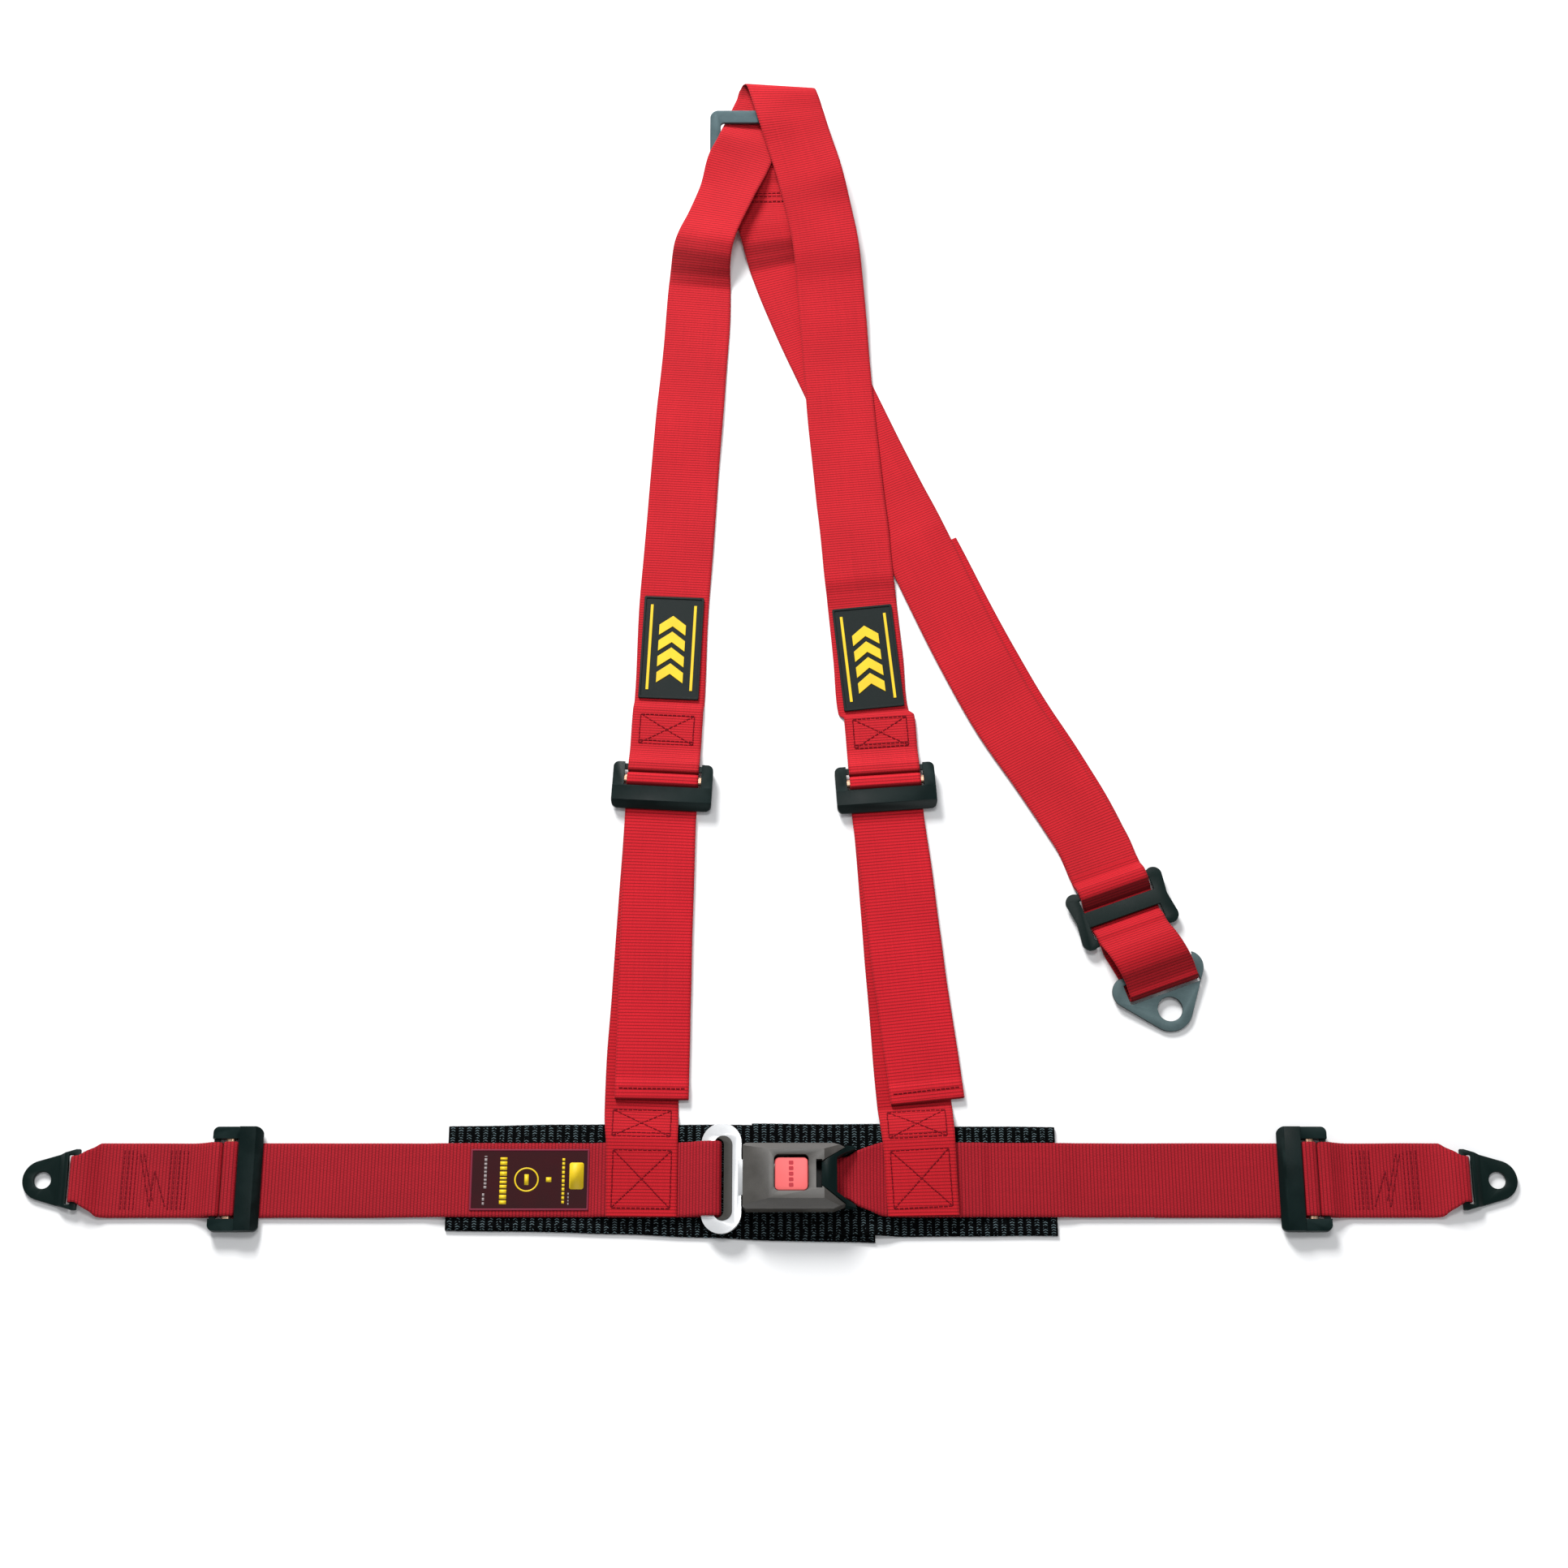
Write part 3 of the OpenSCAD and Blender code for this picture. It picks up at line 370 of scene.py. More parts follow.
def strap(name, rows, pitch, material, thickness=WEB_T, relief=0.13, seed=1.0, waver=0.25):
    """A length of webbing with its ribs, along rows of x, y, z and turn, in millimetres and degrees.
    A row may go on with the width, the roll about the strap's own line, and how far its middle bulges."""
    rows = np.array([list(r) + [WEB_W, 0, 0][len(r) - 4:] for r in rows], float)
    reach = np.concatenate([[0], np.cumsum(np.linalg.norm(np.diff(rows[:, :3], axis=0), axis=1))])
    fine = np.linspace(0, reach[-1], max(200, int(reach[-1] / ROUTE_STEP)))
    path = pchip(reach, rows, fine)
    true = np.concatenate([[0], np.cumsum(np.linalg.norm(np.diff(path[:, :3], axis=0), axis=1))])
    ribs = max(2, round(true[-1] / pitch))
    count = ribs * PER_RIB + 1
    at = np.linspace(0, true[-1], count)
    path = np.stack([np.interp(at, true, path[:, i]) for i in range(7)], axis=1)
    centre, turn, width = path[:, :3], np.radians(path[:, 3]), path[:, 4]
    roll, cup = np.radians(path[:, 5])[:, None], path[:, 6]
    ahead = np.gradient(centre, axis=0)
    ahead /= np.linalg.norm(ahead, axis=1)[:, None]
    sideways = np.stack([np.cos(turn), np.sin(turn), np.zeros(count)], axis=1)
    up = np.cross(sideways, ahead)
    up /= np.linalg.norm(up, axis=1)[:, None]
    sideways, up = sideways * np.cos(roll) + up * np.sin(roll), up * np.cos(roll) - sideways * np.sin(roll)
    section = [(a, 1) for a in COLUMNS] + [(1.0, 0)] + [(a, -1) for a in reversed(COLUMNS)] + [(-1.0, 0)]
    phase = np.arange(count) / PER_RIB
    dip = 1 - np.abs(np.sin(np.pi * phase)) ** 0.7
    sway = np.array([[noise.noise(Vector((s / 38.0, seed * 7.3, k))) for k in (0.5, 9.5)] for s in at])
    points, weave, edges, painted_shade_facings = [], [], [], []
    for a, b in section:
        full = 1 - abs(a) ** 8
        shift = waver * (sway[:, 0] * max(0, a) - sway[:, 1] * max(0, -a))
        nub = SELVEDGE * (1 - dip) if abs(a) == 1.0 else 0
        across = a * width / 2 + shift + np.sign(a) * (nub - SELVEDGE)
        lift = b * (thickness / 2 - relief * dip * full - (SELVEDGE if abs(a) > 0.95 else 0))
        lift = lift + cup * (1 - a * a)
        points.append(centre + sideways * across[:, None] + up * lift[:, None])
        weave.append(np.stack([across * MM, at * MM, phase], axis=1))
        edges.append(np.full(count, abs(a)))
        # painted shade: how far each face turns to the front, for the material to paint it darker
        painted_shade_facings.append(b * up[:, 1])
    n = len(section)
    points = np.stack(points, axis=1).reshape(-1, 3) * MM
    ring = np.arange(n)
    starts = np.arange(count - 1)[:, None] * n
    faces = np.stack([starts + ring, starts + (ring + 1) % n, starts + n + (ring + 1) % n,
                      starts + n + ring], axis=2).reshape(-1, 4)
    faces = [list(map(int, f)) for f in faces]
    faces += [[int(i) for i in reversed(ring)], [int(i) + (count - 1) * n for i in ring]]
    mesh = mesh_from(name, points, [f[::-1] for f in faces])
    mesh.attributes.new("weave", "FLOAT_VECTOR", "POINT").data.foreach_set(
        "vector", np.stack(weave, axis=1).reshape(-1).astype(np.float32))
    for key, values in (("edge", edges), ("tilt", painted_shade_facings)):
        mesh.attributes.new(key, "FLOAT", "POINT").data.foreach_set(
            "value", np.stack(values, axis=1).reshape(-1).astype(np.float32))
    made = link(name, mesh, material)
    made["length_mm"] = float(true[-1])
    return made


def surface_of(*objects):
    """The top surfaces of these pieces, to stand stitches and labels on."""
    points, faces = [], []
    for o in objects:
        base = len(points)
        points += [v.co for v in o.data.vertices]
        faces += [[i + base for i in p.vertices] for p in o.data.polygons]
    return BVHTree.FromPolygons(points, faces)


def top_of(surface, x, y):
    """The highest point of a surface at x and y, and the way it faces there."""
    hit, normal, _, _ = surface.ray_cast(Vector((x, y, 1)), Vector((0, 0, -1)))
    return (hit, normal) if hit else (Vector((x, y, 0)), Vector((0, 0, 1)))


STITCH_PITCH, STITCH_LENGTH, STITCH_R, STITCH_STRAY = 3.3, 2.6, 0.55, 0.12
STITCH_SIDES = 6
STITCH_SIDE_VIEW = ((-1, -0.2, 0.5), (-0.6, 0.16, 1), (0.6, 0.16, 1), (1, -0.2, 0.5))


def stitching(name, surface, lines, material, body):
    """Rows of stitches on a surface: each is a short bowed thread that dives in at both ends.
    Its side view says how far along, how high and how thick each of its rings is."""
    points, faces = [], []
    n = STITCH_SIDES
    for start, end in lines:
        start, end = Vector(start), Vector(end)
        count = max(1, round((end - start).length / STITCH_PITCH))
        unit = (end - start).normalized()
        for i in range(count):
            middle = start + (end - start) * ((i + 0.5) / count)
            middle += Vector((unit.y, -unit.x)) * RANDOM.uniform(-STITCH_STRAY, STITCH_STRAY)
            along = unit * (STITCH_LENGTH / 2 * RANDOM.uniform(0.92, 1.05))
            base = len(points)
            for k, (f, rise, r) in enumerate(STITCH_SIDE_VIEW):
                place = (middle + along * f) * MM
                hit, normal = top_of(surface, place.x, place.y)
                ahead = Vector((unit.x, unit.y, 0))
                side = ahead.cross(normal).normalized()
                for q in range(n):
                    angle = q * math.tau / n
                    points.append(hit + normal * (rise * MM) + (side * math.cos(angle)
                                  + normal * math.sin(angle)) * (STITCH_R * r * MM))
                if k:
                    low = base + n * (k - 1)
                    for q in range(n):
                        a, b = low + q, low + (q + 1) % n
                        faces.append((a, b, b + n, a + n))
            last = len(points) - n
            faces.append(tuple(base + q for q in reversed(range(n))))
            faces.append(tuple(last + q for q in range(n)))
    made = link(name, mesh_from(name, points, faces), material)
    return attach(made, body)


def placed(at, turn, lines):
    """Lines given round a point and turned about Z, as lines in the harness."""
    c, s = math.cos(math.radians(turn)), math.sin(math.radians(turn))
    return [tuple((at[0] + x * c - y * s, at[1] + x * s + y * c) for x, y in line) for line in lines]


HEM_LINE = 2.4


def crossed_box(w, h, double=False):
    """The lines of a sewn box with a cross in it, and a second line along its near side if double."""
    x, y = w / 2, h / 2
    lines = [((-x, -y), (x, -y)), ((x, -y), (x, y)), ((x, y), (-x, y)), ((-x, y), (-x, -y)),
             ((-x, -y), (x, y)), ((-x, y), (x, -y))]
    return lines + ([((-x, HEM_LINE - y), (x, HEM_LINE - y))] if double else [])


def softened(name, node, width, material):
    """Stands for a CAD node: the same shape with its edges rounded."""
    work = bmesh.new()
    work.from_mesh(frame["nodes"][node].data)
    bmesh.ops.remove_doubles(work, verts=work.verts, dist=2e-6)
    bmesh.ops.dissolve_limit(work, angle_limit=math.radians(0.6), verts=work.verts, edges=work.edges)
    mesh = bpy.data.meshes.new(name)
    work.to_mesh(mesh)
    work.free()
    mesh.shade_smooth()
    made = link(name, mesh, material)
    round_edges(made, width, 3, 28)
    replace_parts(made, node)
    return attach(made, body_of_node(node))


def body_of_node(node):
    """The body that a CAD node belongs to."""
    bodies = frame["record"]["behaviour"]["bodies"]
    return next(name for name, nodes in bodies.items() if node in nodes)


# ---------------------------------------------------------------- routes

LAP_Y = -402.0
SHOULDER_LEFT, SHOULDER_LEFT_TURN = (-75.9, -124.0), -3.0
SHOULDER_RIGHT, SHOULDER_RIGHT_TURN = (80.7, -125.0), 4.0
LAP_ADJUSTER_X = 355.5
REAR_SLIDE, REAR_TURN, REAR_LEAN = (242.6, -213.3), 20.0, 5.5
STRAP_CUT = -16.9
LOCK_Y, LOCK_Z, LOCK_R, LOCK_FLAT, LOCK_PLAY, BAR_GAP = 4.85, 5.6, 2.0, 1.2, 1.0, 0.3
SLIDE_CUT = 33.0
LAP_HOLE_X, HOLE_TO_BAR = 485.0, 22.5
PLATE_BAR = LAP_HOLE_X - HOLE_TO_BAR - LAP_ADJUSTER_X
SEWN_BAR, SEWN_R = (12.7, 4.85), 2.3
WEBBING_BAR_R = 3.0


def bend(centre, r, start, end, steps=8):
    """Points of an arc in the side view of a strap: distance along it, height."""
    angles = [math.radians(start + (end - start) * i / steps) for i in range(steps + 1)]
    return [(centre[0] + r * math.cos(a), centre[1] + r * math.sin(a)) for a in angles]


def along(at, turn, view):
    """A side view placed in the harness: at a point, turned about Z."""
    c, s = math.cos(math.radians(turn)), math.sin(math.radians(turn))
    return [(at[0] - p[0] * s, at[1] + p[0] * c, p[1], turn, *p[2:]) for p in view]


def leaning(rows):
    """The rear loop leans to the side between the slide and the rear anchor."""
    c, s = math.cos(math.radians(REAR_TURN)), math.sin(math.radians(REAR_TURN))
    out = []
    for x, y, *rest in rows:
        u = (y - REAR_SLIDE[1]) * c - (x - REAR_SLIDE[0]) * s
        lean = REAR_LEAN * max(0, min(1, (-20 - u) / 30))
        out.append((x + lean * c, y + lean * s, *rest))
    return out


LOCK_WRAP = ([(STRAP_CUT, ply(0)), (4.5, ply(0)), (7.2, 1.2), (8.7, 2.8)]
             + bend((LOCK_Y + LOCK_FLAT, LOCK_Z), LOCK_R + BAR_GAP + WEB_T / 2, 0, 90, 5)
             + bend((LOCK_Y - LOCK_FLAT - LOCK_PLAY, LOCK_Z), LOCK_R + BAR_GAP + WEB_T / 2, 90, 180, 5)
             + [(-0.7, 3.4), (-1.9, 2.5), (-3.6, ply(1)), (STRAP_CUT, ply(1))])
SEWN_LOOP = ([(20.5, ply(0)), (17.5, 1.6), (15, 2.4)] + bend(SEWN_BAR, SEWN_R, 270, 90)
             + [(16.5, 7.15), (21.5, 5), (27, 2.9), (31, ply(1))])

SHOULDER_ROUTE = (
    along(SHOULDER_LEFT, SHOULDER_LEFT_TURN, [(58, ply(0))] + SEWN_LOOP + [(59, ply(1))])
    + [(-72, -58, ply(0), -3), (-70, 12, ply(0), -3), (-67, 60, 1.4, -3), (-64, 111, 0.9, -3),
       (-61, 160, 1.9, -3), (-58, 202, 1.2, -3, 49), (-55.1, 248, 0.8, -4, 48.4),
       (-54.2, 276, 1.0, -5, 47), (-53.8, 285, 2.8, -6, 46, 2, 0.6),
       (-53.3, 295, 6.6, -8, 45.2, 5, 1.0), (-51.9, 306, 10.9, -11, 45, 7, 0.6),
       (-48.4, 318, 13.4, -14.5, 44.5, 10), (-42.4, 333, 12.8, -17.5, 44, 12),
       (-34.4, 353, 12.8, -19.5, 44.5, 11), (-25, 380, 14, -18, 48, 1),
       (-18, 396, 15, -15, 46.5, -3), (-12, 413, 12, -12, 46.5),
       (-3, 432, 12.4, -8, 49), (2, 441, 14.2, -6, 53), (4.5, 444.5, 16.6, -5, 53),
       (6.5, 443.5, 19.2, -4, 53), (9, 437, 20.8, 0, 52), (14.5, 418, 20.6, 8, 51, 3, 0.8),
       (20.5, 397, 18.6, 14, 50, 0, 0.4), (28.5, 369, 17.6, 13, 50, -2, 1.0),
       (35.8, 338, 13.4, 12, 50, 2), (41, 309, 11.2, 9, 50, 1), (44, 278, 6.9, 6),
       (46.4, 245, 4.9, 4), (48.7, 210, 2.9, 3.5),
       (51.8, 168, ply(1), 4), (57.6, 103, 2.7, 5), (60.8, 72, ply(2), 5),
       (63.4, 40, ply(2), 5), (65, 25, 1.7, 5), (65.8, 15.5, ply(0), 5), (69.6, -25, ply(0), 5),
       (73, -66, ply(0), 4.5)]
    + along(SHOULDER_RIGHT, SHOULDER_RIGHT_TURN,
            [(55, ply(1))] + SEWN_LOOP[::-1] + [(54, ply(0))]))

REAR_ROUTE = [(-3.8, 344, 4.2, 0), (-5.6, 362, 4.9, 0), (-6.6, 372, 4.5, 0), (-7.2, 380, 5.6, 0),
              (-7.6, 384.8, 8.6, 0), (-7.4, 382, 11.6, 0), (-6.8, 374, 11.3, 0), (-6, 362, 9.4, 0),
              (-4, 344, 8.2, 2), (-1, 329, 8.8, 5), (2.4, 317, 7.7, 8),
              (5.6, 305, 4.3, 11), (9, 294, 1.4, 14),
              (20.4, 262, ply(0), 19),
              (49.4, 192, ply(0), 23), (86, 108, ply(0), 24), (98, 82, 1.5, 24.5),
              (104, 68, ply(1), 25), (136.4, -7, ply(1), 26), (166.5, -68, ply(1), 28),
              (194.4, -113, ply(1), 27), (213, -144, ply(1), 25)]
SLIDE_UNDER = [(29, ply(0)), (26.5, 1.1), (23.5, 3.9), (20.5, 7), (17.5, 7.2), (14.5, 6.95),
               (10.5, 3.7), (7, 1.1)]
SLIDE_OVER = [(32.9, ply(1)), (28, 2.9), (24.3, 6.2), (20.8, 8.8), (17.5, 9.1), (15, 8.8),
              (10.8, 6.1), (6.6, 2.9)]
FAR_UNDER = [(-u, z) for u, z in SLIDE_UNDER]
FAR_OVER = [(-u, z) for u, z in SLIDE_OVER]
LOOP_R = WEBBING_BAR_R + WEB_T / 2
REAR_LOOP = ([(SLIDE_CUT, ply(0))] + SLIDE_UNDER + FAR_UNDER[::-1] + bend((-59.4, 4.3), LOOP_R, 270, 90)
             + [(-52, 10.6), (-44, 13.6), (-36, 14.8), (-29, 13.8), (-23, 11.2)] + FAR_OVER[4:]
             + SLIDE_OVER[::-1])
ANCHOR_VIEW = ([(58.2, ply(0))] + SEWN_LOOP
               + [(84, ply(1), 50), (91, 3.4, 49.5), (96, 5.6, 43), (101, 7.4, 37.5)]
               + [(*p, 31) for p in bend((PLATE_BAR, 4.3), LOOP_R, 90, -90)]
               + [(101, ply(0), 37), (96, ply(0), 42.5), (91, ply(0), 49), (84, ply(0), 50),
                  (58.6, ply(0), 50)])
LAP_CUT = LAP_ADJUSTER_X + STRAP_CUT - 0.3
ON_PAD = 3.2
LAP_VIEW_LEFT = [(LAP_CUT, ply(1)), (232, ply(1)), (220, 3.2), (120, 3.2), (112, 4.8), (62, 4.8),
                 (54, 6.2), (46, 9.3), (42, 10.3), (38, 10.6), (35, 10.1), (33.2, 8.8),
                 (32.6, 7.1), (33.2, 5.4), (35.5, 4.3), (40, 3.7), (60, 3.2), (108, 3.2)]
LAP_VIEW_RIGHT = [(LAP_CUT, ply(1)), (208, ply(1)), (194, 3.2), (148, 3.2), (140, 4.8), (98, 4.8),
                  (77, 6.3, 50), (67, 8.9, 44, 0, 0.8), (58, 10.5, 36.5, 0, 0.6), (50, 10.75, 28),
                  (44.5, 10.6, 28), (42.6, 9.8, 28), (41.9, 8.5, 28), (42.3, 6.9, 28),
                  (44.2, 6.1, 28), (50, 6, 28), (58, 6.2, 36), (67, 5.9, 43), (74, 5.3, 49),
                  (80, 4.3, 50), (94, 3.2), (137, 3.2)]
HEM_FOLD, HEM_RISE = 9.0, 1.42


def hemmed(rows):
    """A free end folded under itself and sewn, with the fold where the last row was."""
    tip, before = np.array(rows[-1][:3]), np.array(rows[-2][:3])
    unit = (tip - before) / np.linalg.norm(tip - before)
    turn = rows[-1][3]
    high = [(-HEM_FOLD - 8, 0), (-HEM_FOLD - 5, 0.25), (-HEM_FOLD - 1.5, HEM_RISE - 0.2),
            (-HEM_FOLD + 1, HEM_RISE), (-0.9, HEM_RISE)]
    fold = [(-0.9 + u, HEM_RISE / 2 + z) for u, z in bend((0, 0), HEM_RISE / 2, 75, -75, 5)]
    low = [(-1.6, 0), (-HEM_FOLD, 0)]
    return rows[:-1] + [(*(tip + unit * u + np.array([0, 0, z])), turn) for u, z in high + fold + low]


def sheet(made):
    """Hands back a length of webbing as it is."""
    return made


# ---------------------------------------------------------------- webbing

TAIL_PITCH, UPPER_PITCH, LAP_PITCH, PAD_PITCH = 2.24, 1.95, 2.27, 5.5


def build_pads():
    """The two ribbed pads behind the buckle."""
    left = strap("back_pad_left_webbing", [(-215.4, -400.2, 1.1, 90, 70.6), (-120, -400.6, 1.1, 90, 73.5),
                 (-20, -402.6, 1.1, 90, 77), (69.9, -404.2, 1.1, 90, 79.6)], PAD_PITCH, PAD,
                 thickness=2.2, relief=0.35, seed=3, waver=0.6)
    right = strap("back_pad_right_webbing", [(-12.2, -401.6, 3.7, 90, 75.6), (71, -401.6, 3.65, 90, 75.5),
                  (88.5, -402.2, 1.15, 90, 75), (190.9, -402.6, 1.1, 90, 73.6)], PAD_PITCH, PAD,
                  thickness=2.1, relief=0.35, seed=4, waver=0.6)
    for piece, body, node, width in ((left, "tongue_side", "back_pad_left", 76),
                                     (right, "buckle_side", "back_pad_right", 75)):
        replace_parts(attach(piece, body), node)
        sheet(piece)


def build_lap():
    """Both lap straps, with their sewn anchor straps, adjuster tails and stitches."""
    left = strap("lap_webbing_left", along((0, LAP_Y), 90, [(LAP_CUT + 5, ply(1))] + LAP_VIEW_LEFT[1:]),
                 LAP_PITCH, LAP_RED_SHADED, seed=5)
    right = strap("lap_webbing_right", along((0, LAP_Y), -90, [(LAP_CUT + 5, ply(1))]
                  + LAP_VIEW_RIGHT[1:]), LAP_PITCH, LAP_RED_SHADED, seed=6)
    sheet(left)
    sheet(right)
    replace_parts(left, "lap_strap_left")
    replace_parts(right, "lap_strap_right")
    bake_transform(left)
    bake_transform(right)
    for side, turn, sign in (("left", 90, -1), ("right", -90, 1)):
        at = (sign * LAP_ADJUSTER_X, LAP_Y)
        body = "lap_adjuster_part_" + side
        anchor = strap("anchor_webbing_" + side, along(at, turn, ANCHOR_VIEW), LAP_PITCH, LAP_RED_SHADED,
                       seed=7 + sign)
        tail = strap("lap_tail_webbing_" + side, along(at, turn, LOCK_WRAP[::-1] + [(-100, ply(0))]),
                     LAP_PITCH, LAP_RED_SHADED, seed=10 + sign)
        for piece, node in ((anchor, "anchor_strap_"), (tail, "lap_tail_")):
            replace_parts(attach(piece, body), node + side)
            sheet(piece)
        top, low = 20.5, -20.0
        lines = [((x, low), (x, top)) for x in (-21, -18.2, -15.4, -12.6, 10.4, 13.2, 16, 18.8, 21.6)]
        lines += [((-10.5, top - 2), (-2, low + 2)), ((-2, low + 2), (0, top - 14)),
                  ((0, top - 14), (8.5, low + 2)), ((-8, top - 2), (0, low + 6))]
        stitching("anchor_stitches_" + side, surface_of(anchor), placed((sign * 410.5, LAP_Y), 0,
                  [tuple((x * -sign, y) for x, y in line) for line in lines]), LAP_THREAD, body)


def build_shoulder():
    """The shoulder strap through the ring, and the two tails below the adjusters."""
    upper = strap("shoulder_webbing", SHOULDER_ROUTE, UPPER_PITCH, RED, seed=11)
    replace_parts(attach(upper, "shoulder_part"), "shoulder_strap")
    sheet(upper)
    surface = surface_of(upper)
    for side, at, turn, box_at in (("left", SHOULDER_LEFT, SHOULDER_LEFT_TURN, 44),
                                   ("right", SHOULDER_RIGHT, SHOULDER_RIGHT_TURN, 43)):
        centre = placed(at, turn, [((0, box_at), (0, 0))])[0][0]
        stitching("loop_stitches_" + side, surface, placed(centre, turn, crossed_box(38, 22, True)),
                  THREAD, "shoulder_part")
    tails = {
        "left": (SHOULDER_LEFT, SHOULDER_LEFT_TURN, [(-77.6, -180, ply(1), -2),
                 (-78.9, -260, ply(1), -1), (-79.6, -325, ply(1), -1), (-79.9, -347, ply(1), -1)]),
        "right": (SHOULDER_RIGHT, SHOULDER_RIGHT_TURN, [(86.5, -180, ply(1), 5),
                  (95.5, -262, ply(1), 6), (103.6, -327, ply(1), 6), (106.1, -348.5, ply(1), 6)]),
    }
    for side, (at, turn, rows) in tails.items():
        tail = strap("tail_webbing_" + side, hemmed(along(at, turn, LOCK_WRAP) + rows), TAIL_PITCH,
                     TAIL_RED, seed=12 + turn)
        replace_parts(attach(tail, "shoulder_part"), "shoulder_tail_" + side)
        sheet(tail)
        end = rows[-1]
        unit = Vector((rows[-1][0] - rows[-2][0], rows[-1][1] - rows[-2][1])).normalized()
        line = [Vector(end[:2]) - unit * 7.2 + Vector((-unit.y, unit.x)) * x for x in (-22.5, 22.5)]
        stitching("tail_stitches_" + side, surface_of(tail), [tuple(tuple(p) for p in line)], THREAD,
                  "shoulder_part")


def build_stubs():
    """The straps sewn to the lap belt, up to the shoulder adjusters."""
    left_low = [(-85.3, -427, 6.3, -0.5, 47.5), (-85.6, -376, 6.3, -1, 48.5),
                (-85.9, -371, 5.6, -1.5, 49), (-86.4, -360, 2.2, -2, 50), (-86.6, -353, ply(0), -2)]
    right_low = [(102, -427, 8.3, 1, 47.5), (99.5, -377, 8.3, 3, 48.5), (99, -370, 7.4, 3.5, 49),
                 (98.2, -361, 4.9, 4, 49.5), (97.6, -354, 1.4, 4, 50), (97.3, -351.6, ply(0), 4.5)]
    left_high = along(SHOULDER_LEFT, SHOULDER_LEFT_TURN, [(STRAP_CUT + 4, ply(0))])
    right_high = along(SHOULDER_RIGHT, SHOULDER_RIGHT_TURN, [(STRAP_CUT + 4, ply(0))])
    left = strap("stub_webbing_left", left_low + [(-82.2, -250, ply(0), -3)], TAIL_PITCH, STUB_RED,
                 seed=14)
    upper = strap("stub_webbing_left_upper", [(-82.2, -249.8, ply(0), -3), (-77.9, -160, ply(0), -3)]
                  + left_high, TAIL_PITCH, STUB_RED, seed=15)
    right = strap("stub_webbing_right", right_low + [(89.8, -250, ply(0), 5), (83.6, -160, ply(0), 5)]
                  + right_high, TAIL_PITCH, STUB_RED, seed=16)
    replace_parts(left, "shoulder_stub_left")
    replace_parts(upper, "shoulder_stub_left")
    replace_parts(right, "shoulder_stub_right")
    for piece, on in ((left, "lap_webbing_left"), (upper, "floor"), (right, "lap_webbing_right")):
        sheet(piece)
    spots = {"left": (left, "tongue_side", (-85.5, -402), (-86.1, -363.5), -1),
             "right": (right, "buckle_side", (100.8, -402), (98.6, -364.5), 3)}
    for side, (piece, body, belt, above, turn) in spots.items():
        surface = surface_of(piece)
        stitching("belt_stitches_" + side, surface, placed(belt, turn, crossed_box(39, 39))
                  + placed(above, turn, crossed_box(39, 19, True)), THREAD, body)
    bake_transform(left)
    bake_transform(upper)
    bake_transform(right)


def build_rear():
    """The rear strap, its loop through the slide and the anchor, and its tail."""
    cut = along(REAR_SLIDE, REAR_TURN, [(SLIDE_CUT + 14, ply(1)), (SLIDE_CUT - 0.4, ply(1))])
    rear = strap("rear_webbing", REAR_ROUTE + cut, UPPER_PITCH, RED, seed=17)
    loop = strap("rear_loop_webbing", leaning(along(REAR_SLIDE, REAR_TURN, REAR_LOOP)),
                 UPPER_PITCH, STUB_RED, seed=18)
    tail = strap("rear_tail_webbing", [(112, 60, ply(0), 25), (142, -6, ply(0), 26),
                 (172, -66, ply(0), 28), (198, -111, ply(0), 27), (214.5, -142, ply(0), 25)]
                 + along(REAR_SLIDE, REAR_TURN, [(SLIDE_CUT + 14, ply(0)), (SLIDE_CUT - 0.2, ply(0))]),
                 UPPER_PITCH, TAIL_RED, seed=19)
    for piece, node in ((rear, "rear_strap"), (loop, "rear_loop"), (tail, "rear_tail")):
        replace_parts(piece, node)
    sheet(rear)
    sheet(loop)
    sheet(tail)
    surface = surface_of(rear)
    stitching("ring_loop_stitches", surface,
              [((-26.5 + k * 0.2, y), (16.5 + k * 0.2, y + 1.5)) for k, y in enumerate((354, 351.4, 347))],
              THREAD, "shoulder_part")
    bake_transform(rear)
    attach(loop, "rear_adjuster")
    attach(tail, "rear_adjuster")


# ---------------------------------------------------------------- label and badges


def bar(work, x0, y0, x1, y1, z0, z1):
    """A block between two corners."""
    for v in bmesh.ops.create_cube(work, size=1)["verts"]:
        v.co = Vector(((x0 + x1) / 2 + v.co.x * (x1 - x0), (y0 + y1) / 2 + v.co.y * (y1 - y0),
                       (z0 + z1) / 2 + v.co.z * (z1 - z0)))


def prism(work, outline, z0, z1):
    """A closed prism over an outline that runs anticlockwise."""
    low = [work.verts.new((x, y, z0)) for x, y in outline]
    high = [work.verts.new((x, y, z1)) for x, y in outline]
    work.faces.new(low[::-1])
    work.faces.new(high)
    for i in range(len(outline)):
        k = (i + 1) % len(outline)
        work.faces.new((low[i], low[k], high[k], high[i]))


def from_work(name, work, material, place, bevel=0.0):
    """A piece from shapes drawn in millimetres, moved to its place, with its edges rounded."""
    for v in work.verts:
        v.co *= MM
    bmesh.ops.recalc_face_normals(work, faces=work.faces)
    mesh = bpy.data.meshes.new(name)
    work.to_mesh(mesh)
    work.free()
    mesh.shade_smooth()
    mesh.transform(place)
    made = link(name, mesh, material)
    if bevel:
        round_edges(made, bevel, 2, 30)
    return made


def spot(x, y, z, turn):
    """A place in the harness, in millimetres, turned about Z."""
    return Matrix.Translation((x * MM, y * MM, z * MM)) @ Matrix.Rotation(math.radians(turn), 4, "Z")


